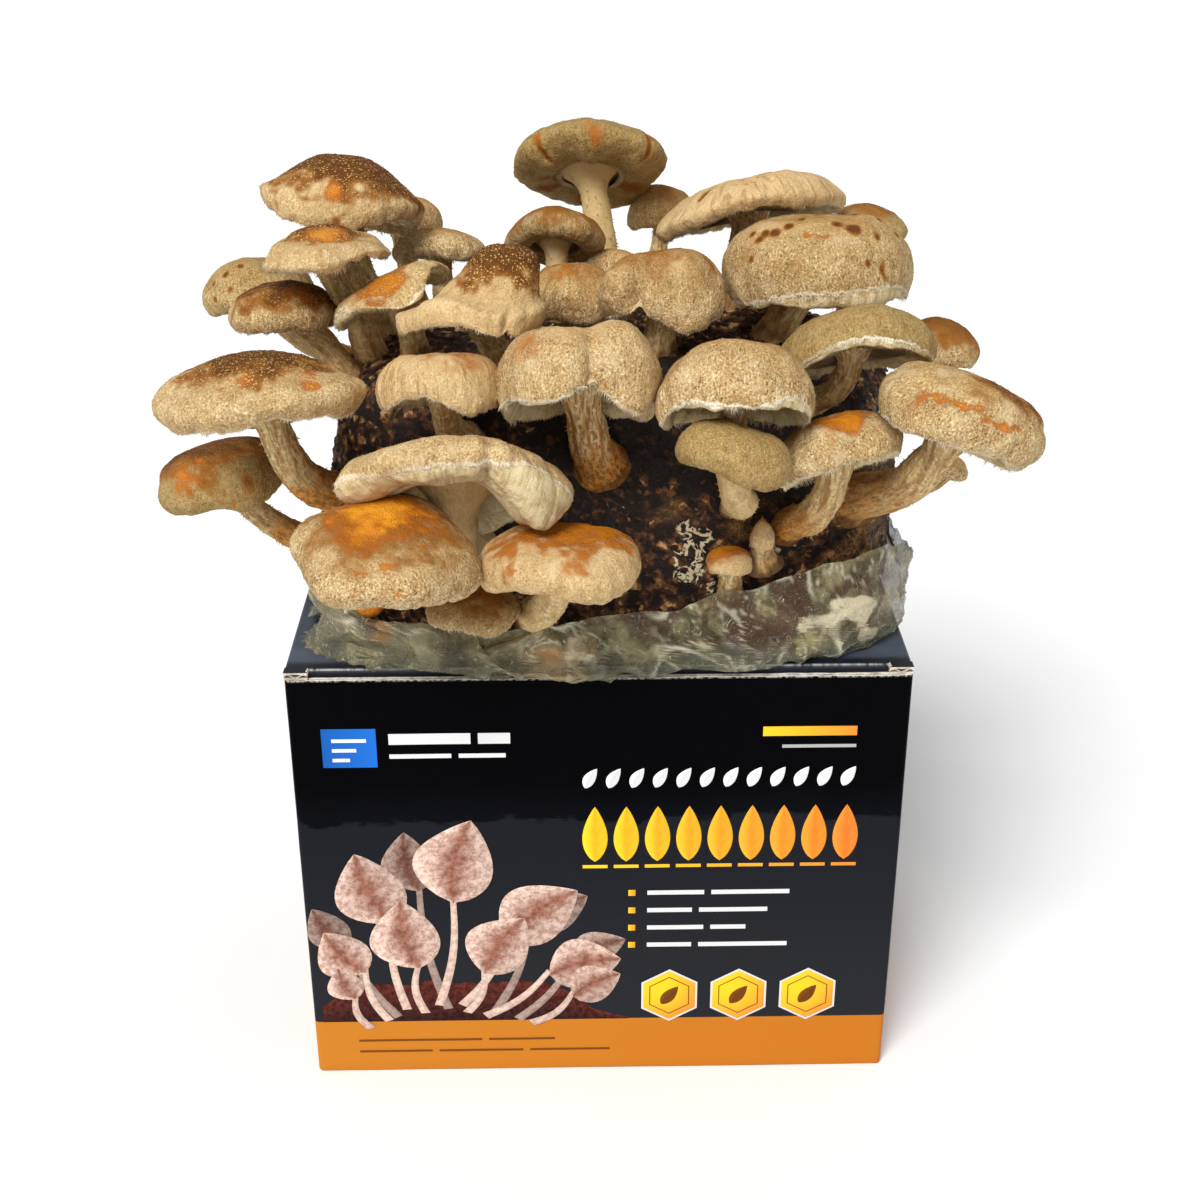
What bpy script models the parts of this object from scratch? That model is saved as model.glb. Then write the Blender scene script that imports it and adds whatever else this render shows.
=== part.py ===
"""A shiitake grow kit: a closed printed carton, a bagged sawdust block on its lid, and the
mushrooms that grow out of the block. Origin at the centre of the carton's underside, +Z up,
front of the carton towards -Y. Sizes are in millimetres and become metres at the mesh."""

from math import atan2, cos, degrees, exp, pi, radians, sin

import bmesh
import bpy
from mathutils import Vector

MM = 0.001
GAP = 0.3

# Carton of corrugated board
CARTON_WIDTH = 250.0
CARTON_DEPTH = 155.0
WALL_TOP = 197.2
BOARD = 2.6
LID_TOP = 200.5
EAR_WIDTH = 9.5
TUCK_DEPTH = 24.0
TUCK_TAPER = 9.0
TUCK_SHOULDER = 4.0

# Block of sawdust, a rounded brick
BLOCK_CENTRE = (7.0, -2.0)
BLOCK_HALF = (113.0, 60.0)
BLOCK_BOTTOM = 202.6
BLOCK_TOP = 318.0
BLOCK_SQUARENESS = 3.5
BLOCK_SIDES = 32
BLOCK_CROWN = 0.5
BLOCK_SAG = 1.2
BLOCK_SHOULDER = 100.0
CUTTER_ROOM = 0.05

# Height above the block's foot, and the share of its plan there
BLOCK_LEVELS = (
    (0.0, 0.94),
    (4.0, 0.98),
    (26.0, 1.01),
    (54.0, 1.0),
    (82.0, 0.97),
    (99.0, 0.93),
    (108.0, 0.85),
    (114.0, 0.68),
    (115.2, 0.36),
)

# Swellings of the block's sides: height in millimetres, number round the block, turn in
# radians, and how many millimetres up the block it takes them to drift by one radian
BLOCK_LUMPS = (
    (1.6, 2, 0.7, 1000.0),
    (1.3, 3, 0.0, -24.0),
    (1.0, 7, 0.0, 13.0),
    (0.8, 11, 0.0, -9.0),
)

# Open bag of film that is left around the foot of the block
BAG_CENTRE = (5.0, -5.0)
BAG_HALF = (127.0, 77.0)
BAG_BOTTOM = LID_TOP + GAP
BAG_FILM = 1.3
BAG_SQUARENESS = 3.2
BAG_SIDES = 32
BAG_RIM = 227.0

# Share of the way up to the bag's rim, and the shares of its width and depth there
BAG_LEVELS = ((0.0, 0.96, 0.95), (0.16, 0.99, 0.99), (0.55, 0.975, 0.94), (1.0, 0.975, 0.92))

# The torn rim: how far it dips or rises, in which direction, and over how many degrees
BAG_RIM_SHAPE = ((-11.0, -110, 26), (17.0, -46, 28), (-4.0, -68, 9), (-6.0, -5, 22))
BAG_RIM_RIPPLES = ((1.4, 5, 0.0), (1.0, 9, 1.0))

# Where the film stands out over what grows under it: how far, in which direction, over how
# many degrees, at what height above the lid, and over how many millimetres of height
BAG_BULGES = ((8.0, -99, 13, 0.0, 30.0), (8.0, -134, 12, 22.0, 14.0))
BAG_FLARE = (5.0, -14, 20, 35.0)
BAG_FOLDS = ((1.6, 9, 11.0), (1.0, 15, -7.0))

# Ring by ring, the share of the cap's radius and of its rise, from the gills to the crown
GILL_EDGE = (0.78, 0.08)
RIM_ROLL = (0.94, -0.16)
RIM = (1.0, 0.12)
CROWNS = {
    "round": ((0.90, 0.50), (0.62, 0.84), (0.30, 0.97)),
    "cone": ((0.90, 0.38), (0.60, 0.74), (0.28, 0.95)),
    "flat": ((0.92, 0.44), (0.66, 0.79), (0.32, 0.96)),
    "full": ((0.94, 0.56), (0.70, 0.88), (0.34, 0.985)),
    "hat": ((0.82, 0.25), (0.54, 0.62), (0.34, 0.94)),
}

# Along a stem from the foot to the cap, with its width there as a share of its thickness
LONG_STEM = ((0.0, 1.25), (0.34, 1.08), (0.66, 0.95), (0.90, 1.0))
SHORT_STEM = ((0.0, 1.2), (0.45, 1.0), (0.88, 1.0))
LONG_STEM_REACH = 42
STEM_SUNK = 7.0
STEM_TURNS_UP_WITHIN = 12.0
STEM_STEP = 0.02
GILL_HEIGHT = 0.24

CAP_COLOUR = (0.53, 0.36, 0.18)
CAP_SHADES = (0.82, 1.0, 1.12, 0.92)

# Each mushroom: centre of the rim, radius, rise, lean to the back and to the right in
# degrees, where the stem leaves the block, stem thickness, and the form of the crown
MUSHROOMS = {
    "mushroom_left_1": ((-101, 8, 362), 31, 23, 13, 7, (-92, 8, 318), 13, "cone"),
    "mushroom_left_2": ((-82, 46, 347), 17, 11, 10, 5, (-76, 38, 317), 9, "round"),
    "mushroom_left_3": ((-103, -37, 354), 25, 15, 8, 0, (-91, -14, 316), 10, "round"),
    "mushroom_left_4": ((-137, 12, 325), 22, 18, 11, -5, (-104, 10, 300), 10, "round"),
    "mushroom_left_5": ((-121, -27, 329), 21, 15, 8, 0, (-100, -20, 309), 11, "round"),
    "mushroom_left_6": ((-121, -88, 315), 36, 21, 11, 0, (-100, -42, 260), 14, "cone"),
    "mushroom_left_7": ((-148, -36, 262), 26, 19, 11, -12, (-104, -26, 229), 11, "full"),
    "mushroom_left_8": ((-129, -29, 290), 15, 9, 11, -5, (-103, -22, 247), 8, "round"),
    "mushroom_top_1": ((-63, 22, 341), 19, 11, 18, 0, (-62, 20, 317), 9, "flat"),
    "mushroom_top_2": ((-77, -44, 343), 23, 9, 8, -25, (-70, -28, 317), 10, "flat"),
    "mushroom_top_3": ((-46, -66, 341), 27, 24, 16, 3, (-38, -38, 315), 11, "hat"),
    "mushroom_top_4": ((-16, 15, 348), 20, 11, 38, 0, (-14, 10, 318), 10, "flat"),
    "mushroom_top_5": ((-1, 52, 368), 32, 16, 40, 0, (6, 42, 317), 12, "flat"),
    "mushroom_top_6": ((30, 72, 341), 15, 15, 14, 0, (26, 52, 310), 8, "full"),
    "mushroom_top_7": ((-9, -22, 330), 15, 18, 11, 0, (-8, -18, 318), 11, "full"),
    "mushroom_top_8": ((8, 17, 335), 12, 9, 11, 0, (8, 16, 318), 8, "round"),
    "mushroom_top_9": ((26, -38, 335), 23, 22, 16, 0, (24, -30, 318), 12, "full"),
    "mushroom_top_10": ((65, 34, 352), 39, 17, 18, -12, (58, 26, 318), 14, "round"),
    "mushroom_top_11": ((86, -20, 338), 37, 28, 16, 0, (70, -14, 318), 14, "full"),
    "mushroom_top_12": ((118, 52, 342), 16, 11, 12, 8, (108, 38, 310), 9, "round"),
    "mushroom_right_1": ((94, -76, 327), 28, 17, 31, -8, (82, -56, 303), 10, "full"),
    "mushroom_right_2": ((140, -4, 305), 16, 15, 11, 8, (118, -4, 290), 9, "round"),
    "mushroom_right_3": ((127, -102, 309), 31, 21, 14, 23, (106, -50, 262), 15, "full"),
    "mushroom_right_4": ((143, -20, 260), 10, 8, 11, 10, (118, -18, 248), 8, "round"),
    "mushroom_right_5": ((88, -92, 294), 24, 17, 26, -16, (75, -60, 254), 13, "round"),
    "mushroom_front_1": ((48, -104, 319), 26, 23, 32, 0, (46, -60, 297), 11, "full"),
    "mushroom_front_2": ((46, -118, 303), 20, 14, 11, 14, (54, -60, 264), 12, "full"),
    "mushroom_front_3": ((-7, -96, 322), 29, 23, 30, 0, (0, -60, 282), 15, "full"),
    "mushroom_front_4": ((-57, -89, 319), 22, 16, 23, 0, (-52, -60, 292), 11, "full"),
    "mushroom_front_5": ((-78, -128, 269), 34, 21, -6, 9, (-76, -60, 236), 15, "full"),
    "mushroom_front_6": ((-52, -98, 286), 42, 13, 40, 0, (-52, -60, 246), 17, "flat"),
    "mushroom_front_7": ((-14, -118, 260), 29, 18, 6, 0, (-25, -56, 215), 13, "full"),
    "mushroom_front_8": ((-48, -88, 230), 18, 12, 8, 0, (-52, -58, 225), 10, "round"),
    "mushroom_pin_1": ((51, -71, 242), 9, 8, 12, 0, (53, -56, 218), 9, "full"),
    "mushroom_pin_2": ((63, -69, 252), 5, 11, 0, 0, (65, -58, 238), 8, "cone"),
    "mushroom_bagged_1": ((-92, -57, 222), 7, 4, -45, 0, (-90, -46, 217), 6, "full"),
    "mushroom_bagged_2": ((-7, -71, 209), 7, 4, -70, 0, (-7, -58, 209), 6, "full"),
}

# Rims that wave: number of waves, height in millimetres, turn in degrees. The others wave
# a little, by a share of their radius
SMALL_WAVES = 3
SMALL_WAVE_SHARE = 0.03
SMALL_WAVE_TURN = 60
RIM_WAVES = {
    "mushroom_left_1": (2, 2.0, 10),
    "mushroom_left_3": (3, 1.5, 20),
    "mushroom_left_6": (2, 2.0, 60),
    "mushroom_top_2": (3, 3.0, 40),
    "mushroom_top_3": (3, 2.0, 60),
    "mushroom_top_5": (3, 1.5, 70),
    "mushroom_top_10": (2, 2.5, 30),
    "mushroom_top_11": (2, 2.5, 80),
    "mushroom_right_1": (2, 3.0, 0),
    "mushroom_right_3": (2, 2.5, 50),
    "mushroom_front_1": (2, 3.5, 0),
    "mushroom_front_3": (3, 3.0, 30),
    "mushroom_front_5": (3, 2.0, 0),
    "mushroom_front_6": (3, 3.5, 90),
    "mushroom_front_7": (3, 2.0, 60),
}

# Folds that part a rim in two lobes: direction in degrees from +X, depth in millimetres
RIM_FOLDS = {
    "mushroom_top_9": (-100, 6.0),
    "mushroom_front_3": (-62, 7.0),
}
FOLD_SPREAD = 24

# A crown that stands to one side of its brim, in millimetres to the right
CROWN_SHIFTS = {"mushroom_top_3": 12.0}


def clear_scene():
    for old in list(bpy.data.objects):
        bpy.data.objects.remove(old, do_unlink=True)


def material(name, colour, roughness, metallic=0.0):
    made = bpy.data.materials.new(name)
    made.use_nodes = True
    shader = made.node_tree.nodes["Principled BSDF"]
    shader.inputs["Base Color"].default_value = (*colour, 1.0)
    shader.inputs["Roughness"].default_value = roughness
    shader.inputs["Metallic"].default_value = metallic
    return made


def add_object(name, mesh_builder, look):
    mesh = bpy.data.meshes.new(name)
    mesh_builder.to_mesh(mesh)
    mesh_builder.free()
    made = bpy.data.objects.new(name, mesh)
    bpy.context.scene.collection.objects.link(made)
    if look:
        mesh.materials.append(look)
    return made


def hide_cutter(cutter):
    cutter.hide_render = True
    cutter.display_type = "WIRE"


def add_boolean(target, tool, operation):
    cut = target.modifiers.new(operation.lower(), "BOOLEAN")
    cut.operation = operation
    cut.solver = "EXACT"
    cut.object = tool


def loft(rings, start, end):
    """A closed body through rings of equal count, capped by a fan at each end point."""
    builder = bmesh.new()
    rows = [[builder.verts.new(Vector(point) * MM) for point in ring] for ring in rings]
    first = builder.verts.new(Vector(start) * MM)
    last = builder.verts.new(Vector(end) * MM)
    count = len(rings[0])
    for side in range(count):
        after = (side + 1) % count
        builder.faces.new((first, rows[0][after], rows[0][side]))
        for low, high in zip(rows, rows[1:]):
            builder.faces.new((low[side], low[after], high[after]))
            builder.faces.new((low[side], high[after], high[side]))
        builder.faces.new((last, rows[-1][side], rows[-1][after]))
    bmesh.ops.recalc_face_normals(builder, faces=builder.faces)
    return builder


def box(name, low, high, look):
    builder = bmesh.new()
    bmesh.ops.create_cube(builder, size=1.0)
    low = Vector(low)
    high = Vector(high)
    for vertex in builder.verts:
        share = vertex.co + Vector((0.5, 0.5, 0.5))
        size = high - low
        vertex.co = (low + Vector(a * b for a, b in zip(share, size))) * MM
    return add_object(name, builder, look)


def squared_oval(angle, squareness):
    """The point of a unit superellipse that lies in the direction of an angle."""
    across = abs(cos(angle)) ** squareness
    along = abs(sin(angle)) ** squareness
    reach = (across + along) ** (-1.0 / squareness)
    return reach * cos(angle), reach * sin(angle)


def build_carton_body(look):
    """Four walls and a floor of board, open at the top."""
    half_width = CARTON_WIDTH / 2
    half_depth = CARTON_DEPTH / 2
    body = box("carton_body", (-half_width, -half_depth, 0), (half_width, half_depth, WALL_TOP), look)
    inner_low = (-half_width + BOARD, -half_depth + BOARD, BOARD)
    inner_high = (half_width - BOARD, half_depth - BOARD, WALL_TOP + BOARD)
    hollow = box("carton_hollow", inner_low, inner_high, None)
    hide_cutter(hollow)
    add_boolean(body, hollow, "DIFFERENCE")
    return body


def tuck_flap(front):
    """The flap that folds down from the lid behind the front wall, narrower at its tip."""
    half = CARTON_WIDTH / 2 - EAR_WIDTH - GAP
    tip = half - TUCK_TAPER
    top = LID_TOP - BOARD / 2
    low = WALL_TOP - TUCK_DEPTH
    shoulder = WALL_TOP - TUCK_SHOULDER
    left = ((-half, top), (-half, shoulder), (-tip, low))
    outline = left + tuple((-x, z) for x, z in reversed(left))
    builder = bmesh.new()
    face = builder.faces.new([builder.verts.new(Vector((x, front, z)) * MM) for x, z in outline])
    moved = bmesh.ops.extrude_face_region(builder, geom=[face])
    new_points = [item for item in moved["geom"] if isinstance(item, bmesh.types.BMVert)]
    bmesh.ops.translate(builder, verts=new_points, vec=(0, BOARD * MM, 0))
    bmesh.ops.recalc_face_normals(builder, faces=builder.faces)
    flap = add_object("carton_tuck_flap", builder, None)
    hide_cutter(flap)
    return flap


def build_carton_lid(look):
    """The top panel with its two square ears at the front and the tuck flap between them."""
    half_width = CARTON_WIDTH / 2
    half_depth = CARTON_DEPTH / 2
    under = WALL_TOP + GAP
    fold = -half_depth + BOARD + GAP
    lid = box("carton_lid", (-half_width, -half_depth, under), (half_width, half_depth, LID_TOP), look)
    recess_low = (-half_width + EAR_WIDTH, -half_depth - BOARD, under - BOARD)
    recess_high = (half_width - EAR_WIDTH, fold, LID_TOP + BOARD)
    recess = box("carton_lid_recess", recess_low, recess_high, None)
    hide_cutter(recess)
    add_boolean(lid, recess, "DIFFERENCE")
    add_boolean(lid, tuck_flap(fold), "UNION")
    return lid


def angle_from(angle, at_degrees):
    """Degrees from a direction, between -180 and 180."""
    turn = angle - radians(at_degrees)
    return degrees(atan2(sin(turn), cos(turn)))


def hump(away, spread):
    """A smooth hump: 1 in the middle, fading over the spread."""
    return exp(-((away / spread) ** 2))


def block_lumps(angle, height):
    """How far the block's side stands out or in from a true rounded brick."""
    out = 0.0
    for high, count, turn, drift in BLOCK_LUMPS:
        out += high * sin(count * angle + turn + height / drift)
    return out


def block_ring(rise, share, grown):
    ring = []
    lift = grown if rise > 0 else -grown
    for side in range(BLOCK_SIDES):
        angle = 2 * pi * side / BLOCK_SIDES
        x, y = squared_oval(angle, BLOCK_SQUARENESS)
        half_x = BLOCK_HALF[0] * share + grown
        half_y = BLOCK_HALF[1] * share + grown
        out = block_lumps(angle, rise) * share
        x = BLOCK_CENTRE[0] + x * half_x + out * cos(angle)
        y = BLOCK_CENTRE[1] + y * half_y + out * sin(angle)
        sag = BLOCK_SAG * sin(3 * angle + 1.0) * share if rise > BLOCK_SHOULDER else 0.0
        ring.append((x, y, BLOCK_BOTTOM + rise + sag + lift))
    return ring


def build_block(name, grown, look):
    rings = [block_ring(rise, share, grown) for rise, share in BLOCK_LEVELS]
    top = (*BLOCK_CENTRE, BLOCK_TOP + BLOCK_CROWN + grown)
    bottom = (*BLOCK_CENTRE, BLOCK_BOTTOM - grown)
    return add_object(name, loft(rings, bottom, top), look)


def bag_rim_height(angle):
    """The torn rim: low at the front left, high at the front right, even at the back."""
    torn = sum(high * hump(angle_from(angle, at), spread) for high, at, spread in BAG_RIM_SHAPE)
    ripple = sum(high * sin(count * angle + turn) for high, count, turn in BAG_RIM_RIPPLES)
    return BAG_RIM + torn + ripple


def bag_bulge(angle, rise):
    """The film stands out over what grows under it, and flares at the right corner."""
    out = 0.0
    for reach, at, spread, height, tall in BAG_BULGES:
        out += reach * hump(angle_from(angle, at), spread) * hump(rise - height, tall)
    reach, at, spread, height = BAG_FLARE
    flare = reach * hump(angle_from(angle, at), spread) * min(1.0, rise / height)
    folds = sum(high * sin(count * angle + rise / drift) for high, count, drift in BAG_FOLDS)
    return out + flare + folds


def bag_ring(way, share_x, share_y, inset):
    ring = []
    floor = BAG_BOTTOM + inset
    for side in range(BAG_SIDES):
        angle = 2 * pi * side / BAG_SIDES
        x, y = squared_oval(angle, BAG_SQUARENESS)
        top = bag_rim_height(angle)
        rise = (top - BAG_BOTTOM) * way
        out = bag_bulge(angle, rise) - inset
        x = BAG_CENTRE[0] + x * BAG_HALF[0] * share_x + out * cos(angle)
        y = BAG_CENTRE[1] + y * BAG_HALF[1] * share_y + out * sin(angle)
        ring.append((x, y, floor + (top - floor) * way))
    return ring


def build_bag(look):
    """A thin cup of film: up the outside, over the rim and down the inside."""
    outside = [bag_ring(*level, 0.0) for level in BAG_LEVELS]
    inside = [bag_ring(*level, BAG_FILM) for level in reversed(BAG_LEVELS)]
    low = (*BAG_CENTRE, BAG_BOTTOM)
    floor = (*BAG_CENTRE, BAG_BOTTOM + BAG_FILM)
    return add_object("bag", loft(outside + inside, low, floor), look)


def cap_frame(lean_back, lean_right):
    """Right, back and up directions of a cap that leans by two angles."""
    back = radians(lean_back)
    right = radians(lean_right)
    up = Vector((sin(right) * cos(back), sin(back), cos(right) * cos(back)))
    across = Vector((1, 0, 0)) - up * up.x
    across.normalize()
    return across, up.cross(across), up


def side_count(radius):
    if radius >= 30:
        return 12
    if radius >= 18:
        return 10
    return 8


def cap_ring(name, centre, frame, radius, height, edge_share, shift):
    """One ring of a cap. The rim's waves and fold fade with edge_share, from 1 to 0."""
    across, along, up = frame
    cap_radius = MUSHROOMS[name][1]
    small = (SMALL_WAVES, SMALL_WAVE_SHARE * cap_radius, SMALL_WAVE_TURN)
    waves, wave_height, turn = RIM_WAVES.get(name, small)
    fold_at, fold_depth = RIM_FOLDS.get(name, (0, 0.0))
    sides = side_count(cap_radius)
    ring = []
    for side in range(sides):
        angle = 2 * pi * side / sides
        wave = cos(waves * (angle - radians(turn)))
        fold = fold_depth * hump(angle_from(angle, fold_at), FOLD_SPREAD) * edge_share
        reach = radius + 0.5 * wave_height * wave * edge_share - fold
        lift = height - wave_height * wave * edge_share + 0.5 * fold
        sideways = reach * cos(angle) + shift
        ring.append(centre + across * sideways + along * reach * sin(angle) + up * lift)
    return ring


def bezier(points, way):
    rest = 1 - way
    parts = (rest ** 3, 3 * rest ** 2 * way, 3 * rest * way ** 2, way ** 3)
    return sum((point * part for point, part in zip(points, parts)), Vector())


def stem_route(centre, frame, foot, gill_height):
    """A stem leaves the block outwards and turns up to meet the cap's gills."""
    top = centre + frame[2] * gill_height
    middle = Vector((*BLOCK_CENTRE, foot.z - 25))
    out = foot - middle
    out.x *= 0.45
    if foot.z > BLOCK_TOP - STEM_TURNS_UP_WITHIN:
        out = Vector((0, 0, 1))
    out.normalize()
    reach = (top - foot).length
    down = -(frame[2] + (top - foot).normalized() * 0.8)
    down.normalize()
    sunk = foot - out * STEM_SUNK
    return sunk, foot + out * reach * 0.30, top + down * reach * 0.34, top


def stem_rings(name, centre, frame, foot, thickness, gill_height):
    route = stem_route(centre, frame, foot, gill_height)
    across, along, _ = frame
    sides = side_count(MUSHROOMS[name][1])
    rings = []
    widths = LONG_STEM if (route[3] - route[0]).length > LONG_STEM_REACH else SHORT_STEM
    for way, width in widths:
        point = bezier(route, way)
        ahead = bezier(route, way + STEM_STEP) - bezier(route, way - STEM_STEP)
        up = ahead.normalized()
        side_way = (across - up * across.dot(up)).normalized()
        other = up.cross(side_way)
        half = thickness / 2 * width
        turns = [2 * pi * side / sides for side in range(sides)]
        rings.append([point + side_way * half * cos(a) + other * half * sin(a) for a in turns])
    return rings


def build_mushroom(name, look, cutter):
    """Stem and cap in one body, from the foot in the block to the crown."""
    place, radius, rise, lean_back, lean_right, foot, thickness, crown = MUSHROOMS[name]
    centre = Vector(place)
    frame = cap_frame(lean_back, lean_right)
    gill_height = rise * GILL_HEIGHT
    rings = stem_rings(name, centre, frame, Vector(foot), thickness, gill_height)
    gill_radius = min(thickness * 0.66, radius * 0.6)
    shift = CROWN_SHIFTS.get(name, 0.0)
    levels = [(gill_radius, gill_height, 0.0, 0.0), (radius * GILL_EDGE[0], rise * GILL_EDGE[1], 0.6, 0.0)]
    levels += [(radius * share, rise * level, 1.0, 0.0) for share, level in (RIM_ROLL, RIM)]
    for (share, level), fade in zip(CROWNS[crown], (0.7, 0.3, 0.05)):
        levels.append((radius * share, rise * level, fade, shift * (1 - fade)))
    rings += [cap_ring(name, centre, frame, *level) for level in levels]
    foot_end = sum(rings[0], Vector()) / len(rings[0])
    crown_point = centre + frame[2] * rise + frame[0] * shift
    made = add_object(name, loft(rings, foot_end, crown_point), look)
    add_boolean(made, cutter, "DIFFERENCE")
    return made


def main():
    clear_scene()
    board = material("printed_board", (0.012, 0.012, 0.016), 0.25)
    sawdust = material("sawdust", (0.045, 0.022, 0.012), 0.95)
    film = material("film", (0.42, 0.44, 0.33), 0.3)
    build_carton_body(board)
    build_carton_lid(board)
    build_block("substrate_block", 0.0, sawdust)
    build_bag(film)
    cutter = build_block("block_cutter", GAP + CUTTER_ROOM, None)
    hide_cutter(cutter)
    for index, name in enumerate(MUSHROOMS):
        shade = CAP_SHADES[index % len(CAP_SHADES)]
        look = material(name, tuple(part * shade for part in CAP_COLOUR), 0.9)
        build_mushroom(name, look, cutter)


main()
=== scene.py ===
"""The looks of a shiitake grow kit: velvety mushrooms on a granular sawdust block, a crinkled
film bag round the block's foot, and a glossy printed carton of corrugated board. Every piece is
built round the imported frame. Lengths are in millimetres and become metres at the mesh."""

from itertools import product
from math import cos, pi, radians, sin

import bpy
import numpy as np
from mathutils import Matrix, Vector


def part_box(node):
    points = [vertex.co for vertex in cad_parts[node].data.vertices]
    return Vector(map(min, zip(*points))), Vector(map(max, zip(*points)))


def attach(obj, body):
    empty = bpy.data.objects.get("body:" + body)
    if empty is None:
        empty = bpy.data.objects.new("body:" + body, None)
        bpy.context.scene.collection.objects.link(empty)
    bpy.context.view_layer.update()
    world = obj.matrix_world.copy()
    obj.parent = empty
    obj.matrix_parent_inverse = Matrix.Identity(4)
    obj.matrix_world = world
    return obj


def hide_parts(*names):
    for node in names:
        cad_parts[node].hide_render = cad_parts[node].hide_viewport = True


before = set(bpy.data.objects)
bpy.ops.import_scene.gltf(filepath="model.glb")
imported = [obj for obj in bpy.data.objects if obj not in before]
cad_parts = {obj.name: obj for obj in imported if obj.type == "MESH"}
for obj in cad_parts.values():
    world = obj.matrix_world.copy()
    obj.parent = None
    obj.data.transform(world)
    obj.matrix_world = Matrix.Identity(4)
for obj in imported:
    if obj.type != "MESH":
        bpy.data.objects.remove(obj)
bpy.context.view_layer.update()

MM = 0.001

# Camera, as it stood for the photograph
CAMERA_PLACE = (-9.41, -703.57, 537.65)
CAMERA_DOWN = 26.053
CAMERA_TO_RIGHT = 0.893
CAMERA_ROLL = -0.15
CAMERA_LENS = 53.87
SENSOR_WIDTH = 36.0

# Smooth noise is read from this periodic block of random values
NOISE_CELLS = 64
NOISE_TABLE = np.random.default_rng(11).random((NOISE_CELLS,) * 3)

# Names of the rings of a modelled mushroom, from the crown down
RING_RIM = 3
RING_ROLL = 4
RING_GILL_EDGE = 5
RING_STEM_TOP = 6

# How far each ring goes down where the rim hangs lower, and where only its rolled edge does
HANGING = ((RING_RIM - 1, 0.3), (RING_RIM, 1.0), (RING_ROLL, 1.0), (RING_GILL_EDGE, 0.9))
FLAP = ((RING_RIM, 0.15), (RING_ROLL, 0.9), (RING_GILL_EDGE, 1.0))

# Places of the materials in a mushroom's list and in the carton's
CAP, GILLS, STEM, FRINGE = range(4)
COATED, CUT_PAPER, KRAFT = range(3)

CAP_SPACING = 1.14
GILL_PITCH = 1.7
STEM_SPACING = 1.45

# How far a stem runs on below the modelled foot, so that it grows out of the block
STEM_SUNK = 4.0

# Hairs on a cap and on a stem for each point of their skin, and threads for each millimetre of rim
CAP_HAIRS = 0.3
STEM_HAIRS = 0.12
RIM_THREADS = 4.5

UP = np.array([0.0, 0.0, 1.0])
RIGHT = np.array([1.0, 0.0, 0.0])


# Noise

def noise(points, size, seed=0):
    """Smooth noise from -1 to 1 at each point, with lumps of about the given size."""
    at = points / size + seed * 7.31
    cell = np.floor(at).astype(np.int64)
    part = at - cell
    part = part * part * (3 - 2 * part)
    total = np.zeros(len(points))
    for corner in product((0, 1), repeat=3):
        weight = np.ones(len(points))
        for axis in range(3):
            weight *= part[:, axis] if corner[axis] else 1 - part[:, axis]
        where = (cell + corner) % NOISE_CELLS
        total += weight * NOISE_TABLE[where[:, 0], where[:, 1], where[:, 2]]
    return 2 * total - 1


def layered_noise(points, size, seed=0, layers=3):
    total = np.zeros(len(points))
    for layer in range(layers):
        total += noise(points, size / 2 ** layer, seed + layer) / 2 ** layer
    return total


def ridges(points, size, seed=0):
    """Noise with sharp crests, from 0 to 1."""
    return 1 - np.abs(noise(points, size, seed)) * 2


def cell_noise(points, size, seed=0):
    """For each point the distance to the nearest grain centre and that grain's own value."""
    at = points / size + seed * 3.17
    cell = np.floor(at).astype(np.int64)
    nearest = np.full(len(points), 9.0)
    second = np.full(len(points), 9.0)
    value = np.zeros(len(points))
    for step in product((-1, 0, 1), repeat=3):
        there = cell + step
        key = there % NOISE_CELLS
        jitter = [NOISE_TABLE[key[:, axis], key[:, (axis + 1) % 3], key[:, (axis + 2) % 3]]
                  for axis in range(3)]
        centre = there + np.stack(jitter, axis=1)
        away = np.linalg.norm(at - centre, axis=1)
        own = NOISE_TABLE[(key[:, 0] + 5) % NOISE_CELLS, key[:, 1], key[:, 2]]
        closer = away < nearest
        second = np.where(closer, nearest, np.minimum(second, away))
        value = np.where(closer, own, value)
        nearest = np.where(closer, away, nearest)
    return nearest, second - nearest, value


def smoothstep(low, high, value):
    part = np.clip((value - low) / (high - low), 0, 1)
    return part * part * (3 - 2 * part)


def bell(away, size):
    """One in the middle, falling off smoothly over a size."""
    return np.exp(-(away / size) ** 2)


def unit(vectors):
    return vectors / np.linalg.norm(vectors, axis=1, keepdims=True)


def heading(direction):
    """The direction in degrees as a vector on the flat."""
    return np.array([cos(radians(direction)), sin(radians(direction))])


def turned_from(angle, direction):
    """Angles in radians, as seen from a direction in degrees, from -pi to pi."""
    return (angle - radians(direction) + pi) % (2 * pi) - pi


def angles(rows, columns):
    """The angle round its axis at each point of a grid."""
    return np.tile(2 * pi * np.arange(columns) / columns, rows)


def on_tube(angle, radius, along):
    """Places on a tube, so that noise read there follows a piece round and down."""
    return np.stack([np.cos(angle) * radius, np.sin(angle) * radius, along], axis=1)


def paint(red, green, blue):
    """A colour as a screen shows it, from 0 to 255, in the linear light that materials work in."""
    return tuple(((part / 255 + 0.055) / 1.055) ** 2.4 for part in (red, green, blue))


# Meshes

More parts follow.
